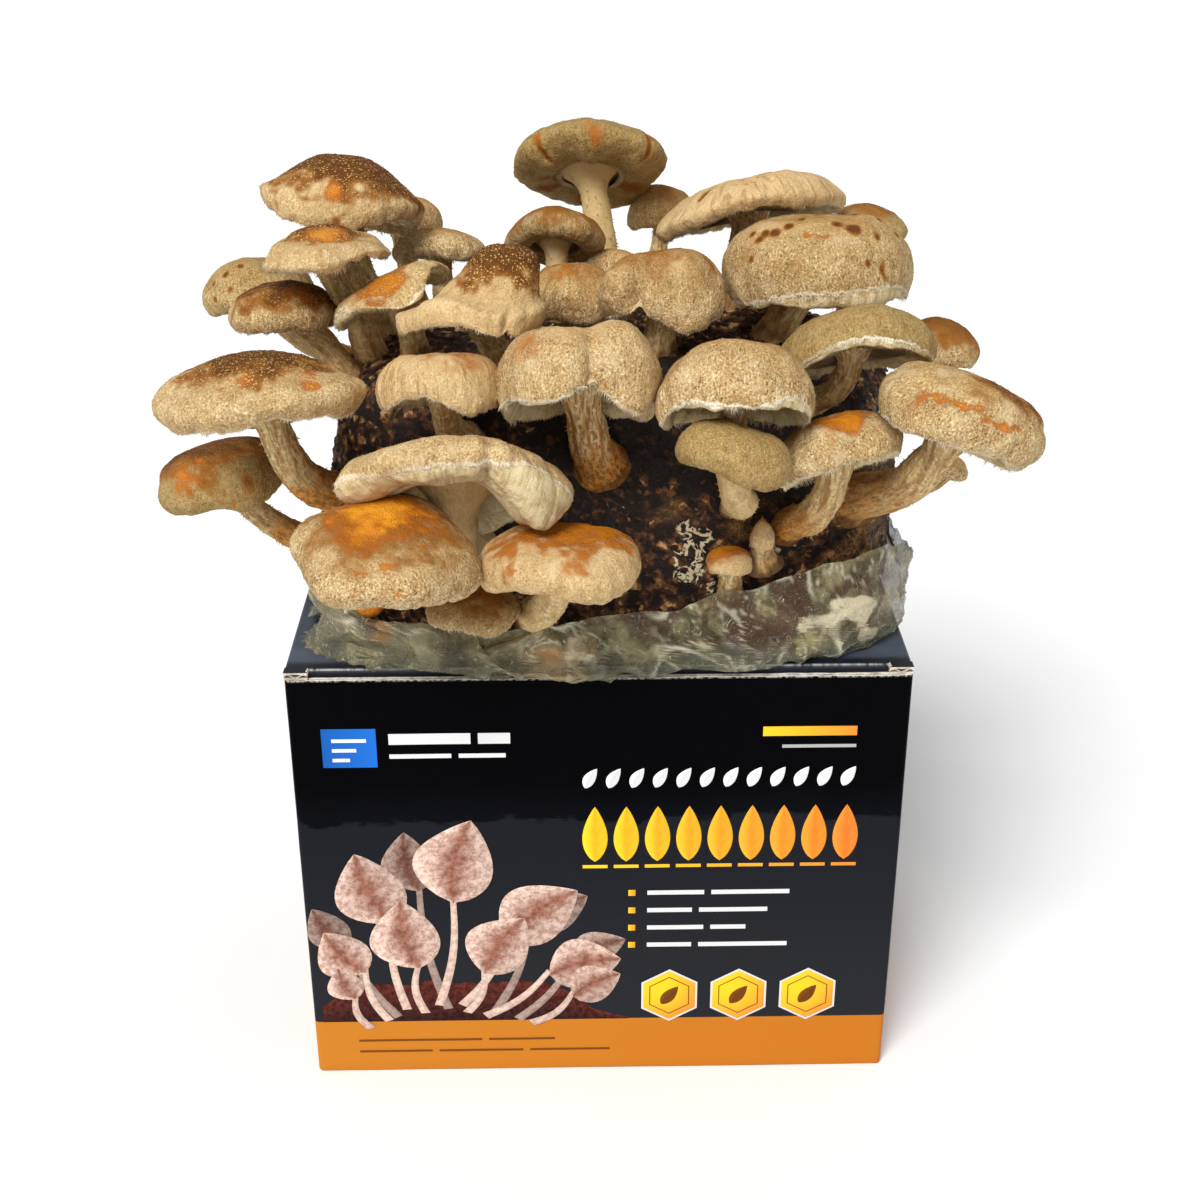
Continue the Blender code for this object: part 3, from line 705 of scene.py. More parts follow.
LOOKS = {
    "left_1": dict(
        brown=1.5, flecks=0.75, streak=0.25, frill=0.5, tone=0.55, reach=1.15, thin=0.2,
        bare=((-93, 0.80, 0.14, 0.8),), specks=((-80, 0.9, 0.5, 0.5), (-20, 0.7, 0.4, 0.5)),
        waves=((-172, 34, -6.0), (-100, 30, 6.0), (-60, 30, 3.0), (-20, 45, -5.0)),
        dark=((-10, 0.7, 0.4, 0.7), (-120, 0.45, 0.4, 0.7))),
    "left_2": dict(
        tone=-0.1, roll=0.4, brown=0.3, swell=((60, 0.6, 0.8, 3.0),)),
    "left_3": dict(
        brown=0.95, flecks=1.0, reach=0.80, bare=((-70, 0.28, 0.34, 0.85),), tone=0.5, fringe=1.6,
        frill=1.0, streak=0.15, waist=((0.5, 0.16, -2.2),), thin=0.7, swell=((180, 0.85, 0.35, -3.0),
        (0, 0.85, 0.3, -2.0), (0, 0.0, 0.4, -1.5)), specks=((-110, 0.85, 0.5, 0.5),),
        waves=((-170, 40, 3.0), (-100, 50, -3.0), (-5, 50, -2.5), (-150, 10, 3.0), (-112, 9, 2.5),
        (-70, 12, 1.5))),
    "left_4": dict(
        tone=-0.5, roll=0.9, frill=0.0, fringe=0.3, brown=0.2, fur=0.5, skin=9.0,
        specks=((-120, 0.7, 0.8, 0.6),), dark=((-123, 0.62, 0.06, 1.1), (-131, 0.96, 0.06, 1.0),
        (-104, 0.47, 0.05, 1.0), (-111, 0.84, 0.06, 1.1), (-140, 0.75, 0.05, 1.0))),
    "left_5": dict(
        brown=1.15, roll=0.6, frill=0.5, streak=0.3, bare=((-60, 0.5, 0.26, 0.6),), tone=0.1,
        specks=((-110, 0.9, 0.4, 0.7), (-30, 0.8, 0.5, 0.9)), waves=((-120, 25, 1.0), (-90, 50, -2.0)),
        flecks=0.45, reach=1.15),
    "left_6": dict(
        brown=1.15, flecks=0.9, tone=0.35, roll=0.85, frill=0.8, rust=1.1, reach=0.92,
        bare=((-97, 0.60, 0.10, 0.6), (-48, 0.76, 0.13, 0.62)), flare=0.2, fringe=1.5,
        specks=((-105, 0.62, 0.24, 1.2), (-42, 0.62, 0.26, 1.3), (-75, 0.85, 0.3, 0.5)),
        swell=((-165, 0.95, 0.35, 3.0), (-15, 0.95, 0.3, 2.5)), waves=((-20, 50, -4.0),
        (-160, 30, -0.5), (-95, 34, -3.0), (-78, 14, 2.0), (-25, 14, 2.0))),
    "left_7": dict(
        tone=-0.8, brown=0.95, roll=1.1, frill=0.0, fringe=0.1, rust=1.1, fur=0.6,
        bare=((-116, 0.72, 0.24, 0.50), (-118, 0.84, 0.12, 0.45), (-98, 0.56, 0.10, 0.45)),
        dark=((-160, 0.55, 0.3, 0.8), (-172, 0.75, 0.2, 0.8), (-60, 0.9, 0.12, 0.6),
        (60, 0.5, 0.5, 0.7)), specks=((-75, 1.1, 0.3, 0.9), (-60, 0.9, 0.3, 0.9)), reach=1.1,
        swell=((-60, 1.0, 0.4, 3.0), (-120, 1.1, 0.4, 1.5)), flare=0.7, flecks=0.2, skin=20.0),
    "left_8": dict(
        tone=-0.8, skin=20.0, roll=1.0, frill=0.0, fringe=0.2, brown=0.6, reach=1.4),
    "top_1": dict(
        tone=0.1, brown=0.4, bare=((20, 0.5, 0.4, 0.8),), roll=0.4, frill=0.4, waves=((-140, 25, 1.0),
        (-50, 25, 1.0))),
    "top_2": dict(
        bare=((-75, 0.2, 0.55, 0.85), (-100, 0.8, 0.2, 0.5)), tone=0.4, streak=0.3, fringe=1.2,
        brown=0.5, waves=((-150, 18, 3.0), (-100, 18, -2.0), (-60, 20, 3.0)), flecks=0.8,
        specks=((-90, 0.6, 0.6, 0.8),), thin=0.4, swell=((-90, 0.7, 0.25, -2.5),),
        turned=((-150, 24, 6.0), (-60, 20, 3.0))),
    "top_3": dict(
        brown=1.1, reach=0.8, flecks=1.0, fringe=1.4, tone=0.9, streak=0.2, waist=((0.0, 0.36, 3.5),
        (0.72, 0.12, -1.2)), waves=((-90, 50, -1.0), (-150, 14, 2.0)),
        grooves=((-96, 0.85, 1.1, 0.05, 2.0), (-60, 0.8, 1.1, 0.05, 2.0))),
    "top_4": dict(
        tone=-0.5, brown=0.75, reach=1.4, streak=0.6, roll=1.2, frill=0.0, fringe=0.2, skin=8.0,
        fur=0.3, shag=0.1, flare=0.5, waves=((-30, 60, 3.0), (-160, 40, 2.0)),
        swell=((-90, 0.8, 0.5, 1.5),)),
    # top_5's dark patches past its rim, at the back and sides, are painted shade under the far rim
    "top_5": dict(
        tone=-1.0, brown=0.2, roll=2.0, frill=0.0, fringe=0.0, fur=0.3, shag=0.0, flare=1.6, rust=0.0,
        cracks=((-134, 0.92, 1.3), (-44, 0.85, 1.2)), bare=((-87, 1.05, 0.20, 0.5),
        (-134, 0.97, 0.10, 0.4), (-42, 0.92, 0.10, 0.4)), skin=16.0, dark=((90, 1.35, 0.5, 0.7),
        (150, 1.4, 0.35, 0.7), (30, 1.4, 0.35, 0.7), (180, 1.45, 0.3, 0.5)),
        swell=((-90, 1.25, 0.35, 3.5), (-40, 1.2, 0.3, 2.5), (-140, 1.2, 0.3, 2.5))),
    "top_6": dict(
        tone=-0.6, brown=0.45, roll=1.2, frill=0.0, fringe=0.1, fur=0.2, reach=1.3, streak=0.3,
        swell=((-90, 0.6, 0.5, 3.0),), skin=12.0),
    "top_7": dict(
        tone=0.1, specks=((-110, 0.3, 0.35, 1.5),), brown=0.45, roll=0.8, frill=0.2, streak=0.4,
        swell=((180, 0.7, 0.4, 2.5), (-60, 0.6, 0.3, -2.0))),
    "top_8": dict(
        tone=0.2, roll=0.6, frill=0.2, brown=0.3, streak=0.4),
    "top_9": dict(
        tone=0.2, dark=((-105, 0.5, 0.45, 0.42), (-66, 0.6, 0.2, 0.35)), brown=0.6, fringe=2.0,
        frill=1.0, waves=((-80, 44, 8.0), (-124, 8, -5.0)), roll=0.2, flecks=0.3, thin=0.4,
        specks=((-60, 0.3, 0.4, 0.8), (-20, 0.7, 0.5, 0.8)), swell=((-150, 0.8, 0.3, 4.0),
        (-70, 0.5, 0.3, 2.0)), grooves=((-124, 0.35, 1.0, 0.10, 6.0),)),
    "top_10": dict(
        tone=1.0, streak=0.45, fringe=1.2, frill=0.6, roll=0.1, fur=0.5, brown=0.35,
        cracks=((-80, 0.1, 0.5), (-130, 0.5, 0.8), (-60, 0.3, 0.6)), thin=0.3, waves=((-120, 50, -4.0),
        (-50, 30, 3.0)), specks=((-90, 0.5, 0.5, 0.7), (-150, 0.7, 0.3, 0.7)),
        dark=((60, 0.4, 0.25, 0.5), (-60, 0.4, 0.12, 0.5), (-90, 0.25, 0.12, 0.5))),
    "top_11": dict(
        tone=-0.3, fringe=1.5, frill=1.0, roll=0.1, brown=0.35, reach=0.8,
        dark=((-130, 0.58, 0.055, 1.3), (-122, 0.49, 0.05, 1.3), (-69, 0.57, 0.06, 1.3),
        (-80, 0.47, 0.05, 1.2), (-137, 0.60, 0.045, 1.2), (-139, 0.67, 0.045, 1.2),
        (-139, 0.82, 0.045, 1.1), (-115, 0.35, 0.04, 1.2), (-65, 0.84, 0.04, 1.1),
        (-46, 0.35, 0.04, 1.1), (-30, 0.50, 0.045, 1.2), (-52, 0.66, 0.04, 1.0),
        (-150, 0.62, 0.04, 1.1), (-22, 0.66, 0.04, 1.1)), arcs=((0.60, -108, -86),),
        specks=((-90, 0.5, 0.35, 0.6), (-140, 0.8, 0.3, 0.6)), cracks=((-52, 0.8, 1.0),),
        turned=((-50, 34, 8.0), (-105, 40, 5.0)), waves=((-34, 9, 2.5), (-60, 10, 2.0),
        (-160, 14, 3.0)), swell=((0, 1.0, 0.3, 2.0),)),
    "top_12": dict(
        tone=-0.7, brown=0.5, roll=0.8, frill=0.2, fur=0.5, reach=1.3),
    "right_1": dict(
        tone=-0.85, fringe=1.8, frill=1.0, brown=0.4, turned=((-110, 50, 2.0), (-60, 30, 2.0)),
        waves=((-150, 18, 2.0), (-35, 16, 2.0), (-90, 35, 2.5), (-75, 8, 1.5)), thin=0.5),
    "right_2": dict(
        tone=-0.3, brown=0.7, roll=0.9, frill=0.0, fringe=0.2, reach=1.3, fur=0.4, skin=10.0),
    "right_3": dict(
        roll=0.8, frill=0.5, rust=0.55, tone=-0.1, flecks=0.35, bare=((-133, 0.86, 0.11, 0.6),
        (-94, 0.77, 0.06, 0.5), (-74, 0.87, 0.08, 0.55)), arcs=((0.78, -140, -88), (0.86, -92, -60)),
        grooves=((-58, 0.9, 1.3, 0.07, 3.0),), dark=((-70, 0.42, 0.34, 1.0), (-30, 0.6, 0.3, 0.9),
        (-100, 0.6, 0.14, 0.5)), swell=((-45, 1.1, 0.25, 2.0), (-105, 0.95, 0.2, 1.5)),
        waist=((0.78, 0.06, -1.0),)),
    "right_4": dict(
        roll=0.8, frill=0.0, fringe=0.3),
    "right_5": dict(
        bare=((-82, 0.46, 0.36, 0.95),), roll=0.5, fringe=1.2, rust=0.7, frill=0.7, brown=0.45,
        swell=((-120, 0.8, 0.3, 2.0), (-80, 0.9, 0.15, -1.5)), foot=0.8, tone=-0.2),
    "front_1": dict(
        tone=0.0, fringe=1.8, frill=1.0, specks=((150, 0.5, 0.2, 1.2),), brown=0.4, thin=0.4,
        waves=((-160, 16, 1.5), (-30, 20, 1.0), (-90, 36, 7.5), (-62, 8, -2.0)), under=1.0,
        turned=((-130, 30, 2.5), (-40, 24, 4.5))),
    "front_2": dict(
        tone=-0.8, flecks=0.9, fringe=0.2, frill=0.0, roll=1.1, shag=0.2, brown=0.1, foot=0.6,
        reach=1.0, skin=6.0),
    "front_3": dict(
        tone=0.2, fringe=1.8, rust=1.0, shag=0.9, frill=0.9, bare=((-135, 0.7, 0.3, 0.35),), brown=0.25,
        waves=((-140, 26, 4.0), (-38, 18, 9.0), (-86, 10, -3.0)),
        grooves=((-78, 0.1, 1.15, 0.08, 4.0),), swell=((-45, 0.75, 0.35, 3.5), (-130, 0.7, 0.3, 2.0)),
        turned=((-135, 30, 1.5),)),
    "front_4": dict(
        bare=((-60, 0.4, 0.6, 0.35),), streak=0.5, tone=0.7, frill=0.8, roll=0.3, fringe=1.6,
        waves=((-150, 14, 2.5), (-110, 12, -1.5), (-80, 12, 2.0), (-40, 14, 2.5))),
    "front_5": dict(
        bare=((120, 0.14, 0.5, 1.2), (-118, 0.30, 0.30, 0.62)), fringe=0.5, frill=0.1, white=0.05,
        specks=((-84, 0.64, 0.14, 1.5), (-76, 0.95, 0.12, 1.5), (-100, 0.70, 0.10, 1.3),
        (-61, 0.95, 0.12, 1.4), (-100, 0.91, 0.08, 1.3), (-46, 0.44, 0.12, 1.3),
        (-90, 0.75, 0.7, 0.55)), tone=0.1, roll=0.9, skin=6.0, reach=1.1, brown=0.55,
        swell=((135, 0.75, 0.4, -6.0), (35, 0.9, 0.4, -3.0), (110, 0.25, 0.3, 2.0),
        (-150, 1.0, 0.35, -4.0)), waves=((-90, 70, -6.0),)),
    "front_6": dict(
        tone=0.4, streak=0.1, fringe=1.3, rust=0.1, roll=0.8, shag=0.15, flare=0.45, frill=0.9,
        waves=((-32, 20, 3.0), (-95, 22, 3.0), (-68, 7, -3.0), (-150, 12, 3.0), (-120, 10, 1.5)),
        flap=((-36, 22, 15.0), (-92, 26, 4.0)), gills=0.25, under=0.2, swell=((-150, 0.95, 0.2, 4.0),
        (-125, 0.95, 0.15, 2.0)), grooves=((-70, 0.6, 1.2, 0.06, 4.0),), turned=((-36, 26, 13.0),
        (-100, 24, 4.0), (-145, 20, 9.0)), brown=0.2, specks=((-80, 0.5, 0.6, 0.4),)),
    "front_7": dict(
        bare=((80, 0.2, 0.95, 0.85),), tone=0.6, fringe=0.5, rust=0.2, frill=0.15, roll=0.8,
        specks=((-131, 0.91, 0.2, 1.0), (-103, 1.1, 0.2, 1.0), (-163, 0.47, 0.3, 0.9),
        (-100, 0.6, 0.6, 0.5)), shag=0.3, brown=0.4, skin=5.0, waves=((-90, 70, -5.0),),
        swell=((180, 0.95, 0.35, 1.0), (-60, 0.95, 0.25, 2.0))),
    "front_8": dict(
        tone=-0.5, brown=0.6, roll=0.8, frill=0.1, streak=0.3, reach=1.2, specks=((-90, 0.7, 0.8, 0.8),
        (-150, 0.6, 0.5, 0.7))),
    "pin_1": dict(
        bare=((150, 0.3, 1.1, 1.0),), frill=0.2, fringe=0.2, roll=0.7, fur=0.1, tone=0.7),
    "pin_2": dict(
        tone=0.8, frill=0.0, fringe=0.2, bare=((0, 0.1, 0.5, 0.5),), roll=0.5, flare=0.3, foot=1.5),
    "bagged_1": dict(
        bare=((0, 0.0, 2.2, 0.9),), frill=0.0, fringe=0.0, fur=0.0),
    "bagged_2": dict(
        bare=((0, 0.0, 2.6, 1.3),), frill=0.0, fringe=0.0, fur=0.0),
}


def reshape_cap(shape, look):
    """Rolls the rim under and lets it hang in waves."""
    rings = shape.cap_rings
    turn = angles(1, rings.shape[1])
    for wanted, shares in ((look["waves"], HANGING), (look["flap"], FLAP)):
        for at, spread, drop in wanted:
            low = drop * bell(turned_from(turn, at), radians(spread))
            for ring, share in shares:
                rings[ring] -= shape.up * (low * share)[:, None]
    thick = (rings[RING_RIM] - rings[RING_ROLL]) @ shape.up
    for ring in (RING_ROLL, RING_GILL_EDGE):
        rings[ring] += shape.up * (thick * look["thin"])[:, None]
    drop = ((rings[RING_GILL_EDGE] - rings[RING_ROLL]) @ shape.up).mean()
    rings[RING_GILL_EDGE] -= shape.up * drop * min(look["roll"], 1.0) * 0.8
    for ring, tighter in ((RING_ROLL, 0.08), (RING_GILL_EDGE, 0.26)):
        middle = rings[ring].mean(axis=0)
        rings[ring] = middle + (rings[ring] - middle) * (1 - tighter * look["roll"])


def along_and_aside(flat, direction):
    """How far points lie along a direction from the crown, and how far to its side."""
    way = heading(direction)
    return flat @ way, flat @ np.array([-way[1], way[0]])


def swelling(look, flat):
    """How far the cap's skin stands out or in, in millimetres."""
    total = np.zeros(len(flat))
    for direction, distance, size, high in look["swell"]:
        middle = distance * heading(direction)
        total += high * bell(np.linalg.norm(flat - middle, axis=1), size)
    for direction, start, end, width, deep in look["grooves"]:
        along, aside = along_and_aside(flat, direction)
        total -= deep * bell(aside, width) * smoothstep(start, end, along)
    for distance, width, high in look["waist"]:
        total += high * bell(np.linalg.norm(flat, axis=1) - distance, width)
    return total


def cracks_on(wanted, flat, rough):
    """Narrow lines that run out from the crown."""
    total = np.zeros(len(flat))
    for direction, start, end in wanted:
        along, aside = along_and_aside(flat, direction)
        aside = np.abs(aside + 0.035 * rough)
        inside = smoothstep(start - 0.05, start + 0.1, along) * smoothstep(end + 0.05, end - 0.1, along)
        total = np.maximum(total, inside * smoothstep(0.05, 0.012, aside))
    return total


def arcs_on(wanted, flat, rough):
    """Narrow lines that run round the crown."""
    away = np.linalg.norm(flat, axis=1)
    turn = np.degrees(np.arctan2(flat[:, 1], flat[:, 0]))
    total = np.zeros(len(flat))
    for distance, start, end in wanted:
        aside = np.abs(away - distance - 0.05 * rough)
        inside = smoothstep(start - 6, start + 6, turn) * smoothstep(end + 6, end - 6, turn)
        total = np.maximum(total, inside * smoothstep(0.035, 0.008, aside))
    return total


def spots(spots_wanted, flat, grain):
    """How strongly some patches show at each point of a cap."""
    total = np.zeros(len(flat))
    for direction, distance, size, strength in spots_wanted:
        middle = distance * heading(direction)
        away = np.linalg.norm(flat - middle, axis=1) / size
        total = np.maximum(total, strength * smoothstep(1.35, 0.0, away + 0.3 * grain))
    return total


def cap_net(shape):
    """A fine grid on a smooth cap, and how far from the crown its rows, its rim and its roll are."""
    columns = max(44, int(2 * pi * shape.radius / CAP_SPACING))
    columns += columns % 2
    rings = upsample(shape.cap_rings[:RING_GILL_EDGE + 1], columns)
    apex = np.tile(shape.apex, (1, columns, 1))
    mirrored = np.roll(rings[:1], columns // 2, axis=1)
    rows = np.concatenate((mirrored, apex, rings))
    knots = knots_of(rows)
    knots = knots - knots[1]
    at = np.linspace(0, knots[-1], int(knots[-1] / CAP_SPACING) + 2)
    return smooth_through(rows, knots, at), at, knots[2 + RING_RIM], knots[2 + RING_ROLL]


def cap_relief(look, points, spokes, edge, seed):
    """How far a cap's skin stands out by its lumps, its grain, its puckers and its ragged edge."""
    lumps = (0.7 + 0.6 * look["fur"]) * noise(points, 14, seed) + 0.5 * noise(points, 6, seed + 1)
    grain = 0.16 * noise(points, 2.1, seed + 2) + 0.10 * noise(points, 1.2, seed + 3)
    near_rim = smoothstep(0.55, 1.0, edge) * smoothstep(1.35, 1.02, edge)
    puckers = 0.5 * ridges(spokes * np.array([1, 1, 0.1]), 4.4, seed + 4) * near_rim
    ragged = 0.45 * noise(points, 2.6, seed + 5) * smoothstep(0.98, 1.1, edge)
    return lumps + grain + puckers + ragged


def cap_marks(look, flat, edge, rough):
    """How bare, brown and specked a cap's skin is, and how far its cracks and arcs cut in."""
    arcs = arcs_on(look["arcs"], flat, rough)
    cracked = cracks_on(look["cracks"], flat, rough)
    bare = np.maximum(spots(look["bare"], flat, rough), 0.62 * arcs)
    crown = look["brown"] * smoothstep(1.0, 0.3, edge / look["reach"] + 0.18 * rough)
    brown = np.maximum(np.maximum(crown, spots(look["dark"], flat, rough)), 0.9 * cracked)
    marks = {"bare": bare, "brown": brown, "specks": spots(look["specks"], flat, rough)}
    return marks, np.maximum(cracked, arcs)


def cap_grid(shape, look, seed):
    """The skin of a cap, from the crown over the rim to where the gills begin."""
    grid, at, rim_at, roll_at = cap_net(shape)
    rows, columns = grid.shape[:2]
    edge = np.repeat(at / rim_at, columns)
    lip = np.repeat(at - roll_at, columns)
    joined = smoothstep(0.0, 4.0, np.repeat(at[-1] - at, columns))
    angle = angles(rows, columns)
    spokes = on_tube(angle, shape.radius, lip)
    flat = np.stack([np.cos(angle), np.sin(angle)], axis=1) * edge[:, None]
    normals = grid_normals(grid)
    normals[0] = shape.up
    points = grid.reshape(-1, 3)
    rough = layered_noise(points, 7.0, seed + 6) + 0.6 * noise(points, 2.6, seed + 10)
    marks, cuts = cap_marks(look, flat, edge, rough)
    pits = -0.35 * marks["bare"] - 0.7 * cuts + swelling(look, flat)
    shift = (cap_relief(look, points, spokes, edge, seed) + pits) * smoothstep(0.0, 0.08, edge) * joined
    points = points + normals.reshape(-1, 3) * shift[:, None]
    around = spokes * (1, 1, 0)
    scallops = look["frill"] * (0.9 * noise(around, 6.0, seed + 8) + 0.5 * noise(around, 2.6, seed + 9))
    points -= shape.up * (scallops * smoothstep(-3.5, 0, lip) * joined)[:, None]
    seen_lip = lip - look["skin"]
    for direction, spread, high in look["turned"]:
        aside = turned_from(angle, direction)
        seen_lip += high * bell(aside, radians(spread)) * smoothstep(-30, -2, lip)
    frill = look["frill"] * (0.65 + 0.5 * layered_noise(points, 16, seed + 7))
    even = np.ones(len(edge))
    values = {
        "edge": edge, "lip": seen_lip, "spoke": spokes * MM, **marks, "white": look["white"] * even,
        "tone": look["tone"] * even, "painted_underside_shade": look["under"] * even, "frill": np.clip(frill, 0, 1),
        "streak": look["streak"] * smoothstep(0.25, 0.8, edge),
        "flecks": look["flecks"] * smoothstep(1.05, 0.7, edge),
    }
    return points.reshape(grid.shape), normals, values, seen_lip.reshape(rows, columns)


def gill_grid(shape, look, seed):
    """Radial blades between the rim and the stem; every other one stops half way."""
    blades = max(24, int(2 * pi * shape.radius * 0.78 / GILL_PITCH))
    blades += blades % 2
    columns = blades * 4
    outer, inner = upsample(shape.cap_rings[RING_GILL_EDGE:RING_STEM_TOP + 1], columns)
    inner = shape.hub + (inner - shape.hub) * (1 + look["flare"])
    length = np.linalg.norm(outer - inner, axis=1).mean()
    way = np.linspace(0, 1, max(6, int(length / 2.2)))[:, None]
    wave = np.tile([1.0, 0.1, -1.0, 0.1], blades)
    short = np.repeat(np.arange(blades) % 2, 4)
    fade = np.where(short, smoothstep(0.72, 0.45, way), 1.0)
    ends = np.minimum(1, way / 0.15) * np.minimum(1, (1 - way) / 0.1 + 0.15)
    depth = 0.85 * look["gills"] * wave * fade * ends
    belly = 0.05 * shape.radius * np.sin(pi * way)
    grid = outer * (1 - way[..., None]) + inner * way[..., None]
    wobble = 0.35 * noise(grid.reshape(-1, 3), 6.0, seed).reshape(depth.shape)
    grid = grid - shape.up * (depth + belly + wobble)[..., None]
    # Painted shade between the blades, and deep under the cap towards the stem
    shade_between_gills = np.clip(-wave, 0, 1) * np.ones_like(way) * fade
    deep = look["under"] * smoothstep(0.0, 0.55, way + 0.2 * wobble)
    return grid, {"shade_between_gills": look["gills"] * shade_between_gills.ravel(), "deep": deep.ravel()}


def stem_grid(shape, look, seed):
    columns = max(22, int(pi * shape.thickness / STEM_SPACING))
    rows = upsample(shape.stem_rings, columns)
    knots = knots_of(rows)
    end = knots[-1]
    at = np.linspace(0, end, int(end / STEM_SPACING) + 2)
    grid = smooth_through(rows, knots, at)
    centre = grid.mean(axis=1, keepdims=True)
    flare = 1 + look["flare"] * bell(at, 0.45 * shape.thickness)
    flare = flare * (1 + (look["foot"] - 1) * smoothstep(0.5, 1.0, at / end))
    grid = centre + (grid - centre) * flare[:, None, None]
    normals = grid_normals(grid)
    down = np.repeat(at, columns)
    spokes = on_tube(angles(len(at), columns), shape.thickness / 2, down)
    stretched = spokes * np.array([1.0, 1.0, 0.14])
    points = grid.reshape(-1, 3)
    shift = (0.25 + 0.4 * look["shag"]) * noise(stretched, 1.9, seed) + 0.35 * noise(points, 3.2, seed + 1)
    shift += 0.5 * noise(points, 9, seed + 2)
    shift *= smoothstep(0, 3, down)
    points = points + normals.reshape(-1, 3) * shift[:, None]
    share = down / end
    rusty = look["rust"] * smoothstep(0.25, 0.85, share + 0.15 * noise(points, 6, seed + 3))
    dirt = smoothstep(14, 2, end - down + 7 * noise(points, 5, seed + 4))
    values = {"spoke": spokes * MM, "bare": rusty, "dirt": dirt, "shag": np.full(len(share), look["shag"])}
    return points.reshape(grid.shape), normals, values


def strands(roots, ways, lengths, widths):
    """Thin pointed hairs: points and faces, three sides each."""
    side = unit(np.cross(ways, np.roll(ways, 1, axis=1) + 0.3))
    other = np.cross(ways, side)
    corners = []
    for turn in (0, 2 * pi / 3, 4 * pi / 3):
        corners.append(roots + (side * cos(turn) + other * sin(turn)) * widths[:, None] / 2)
    tips = roots + ways * lengths[:, None]
    points = np.stack((*corners, tips), axis=1)
    return points.reshape(-1, 3), alike_faces(len(roots), 4, ((0, 1, 3), (1, 2, 3), (2, 0, 3)))


def fringe_of(shape, grid, normals, lips, look, random):
    """Cottony threads and tatters of the veil that hang from the rim."""
    count = int(2 * pi * shape.radius * RIM_THREADS * min(look["fringe"], 1.6))
    places = np.argwhere((lips > -0.8) & (lips < 1.2))
    if count == 0 or len(places) == 0:
        return None
    row, column = random.choice(places, count).T
    row = np.clip(row, 1, len(grid) - 2)
    roots = grid[row, column]
    out = normals[row, column]
    down = down_at(grid, row, column)
    tuft = noise(roots, 5.5, 3)
    ways = unit(out * 0.5 + down * 0.55 - shape.up * 0.35 + random.normal(0, 0.32, (count, 3)))
    shaggy = min(look["fringe"], 2.0)
    long = 3.4 * shaggy * np.maximum(0, tuft - 0.1)
    lengths = 0.4 + 0.8 * random.random(count) + long * random.random(count)
    return strands(roots - out * 0.15, ways, lengths, 0.18 + 0.22 * random.random(count))


def skin_hairs(grid, normals, values, lips, fur, random):
    """Short hairs all over a cap, which take their colours from the skin they stand on."""
    rows = np.where(lips.min(axis=1) < 0.8)[0][1:-2]
    around = np.linalg.norm(np.diff(grid[rows], axis=1), axis=2).sum(axis=1)
    count = int(len(rows) * grid.shape[1] * CAP_HAIRS * fur)
    row = random.choice(rows, count, p=around / around.sum())
    column = random.integers(0, grid.shape[1], count)
    skin = row * grid.shape[1] + column
    furry = (values["bare"][skin] < 0.4) & (lips[row, column] < 0.8)
    row, column, skin = row[furry], column[furry], skin[furry]
    count = len(row)
    down = down_at(grid, row, column)
    ways = unit(normals[row, column] * 0.3 + down * 0.6 + random.normal(0, 0.4, (count, 3)))
    lengths = 0.4 + 0.5 * random.random(count)
    points, faces = strands(grid[row, column], ways, lengths, 0.14 + 0.12 * random.random(count))
    kept = {name: np.repeat(value[skin], 4, axis=0) for name, value in values.items()}
    kept["white"] = kept["white"] + np.repeat(0.08 * random.random(count), 4)
    return points, faces, kept


def stem_hairs(grid, normals, values, random):
    """Loose fibres along a stem, which take their colours from the place they stand on."""
    count = int(grid.shape[0] * grid.shape[1] * STEM_HAIRS)
    row = random.integers(2, grid.shape[0] - 2, count)
    column = random.integers(0, grid.shape[1], count)
    down = down_at(grid, row, column)
    ways = unit(normals[row, column] * 0.55 + down * 0.7 + random.normal(0, 0.3, (count, 3)))
    lengths = 0.8 + 1.1 * random.random(count)
    points, faces = strands(grid[row, column], ways, lengths, 0.4 + 0.3 * random.random(count))
    skin = row * grid.shape[1] + column
    return points, faces, {name: np.repeat(value[skin], 4, axis=0) for name, value in values.items()}


def build_mushroom(name, number, looks):
    look = {**PLAIN, **LOOKS[name.removeprefix("mushroom_")]}
    random = np.random.default_rng(100 + number)
    shape = MushroomShape(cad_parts[name])
    reshape_cap(shape, look)
    seed = 10 * number
    piece = Piece()
    cap, cap_normals, cap_values, lips = cap_grid(shape, look, seed)
    piece.add_grid(cap, CAP, **cap_values)
    hairs, hair_faces, hair_values = skin_hairs(cap, cap_normals, cap_values, lips, look["fur"], random)
    piece.add(hairs, hair_faces, CAP, **hair_values)
    gills, gill_values = gill_grid(shape, look, seed)
    piece.add_grid(gills, GILLS, **gill_values)
    stem, stem_normals, stem_values = stem_grid(shape, look, seed)
    piece.add_grid(stem, STEM, **stem_values)
    fringe = fringe_of(shape, cap, cap_normals, lips, look, random)
    if fringe:
        piece.add(*fringe, FRINGE)
    threads, thread_faces, thread_values = stem_hairs(stem, stem_normals, stem_values, random)
    piece.add(threads, thread_faces, STEM, **thread_values)
    made = piece.build(name.replace("mushroom", "grown"), looks)
    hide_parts(name)
    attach(made, "root")


def build_mushrooms():
    looks = (cap_look(), gill_look(), stem_look(), fringe_look())
    names = sorted(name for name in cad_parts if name.startswith("mushroom"))
    for number, name in enumerate(names):
        build_mushroom(name, number, looks)


# Block

BLOCK_SPACING = 1.7
BLOCK_COLUMNS = 400
CHIPS = 5200
CHIP_CORNERS = 5

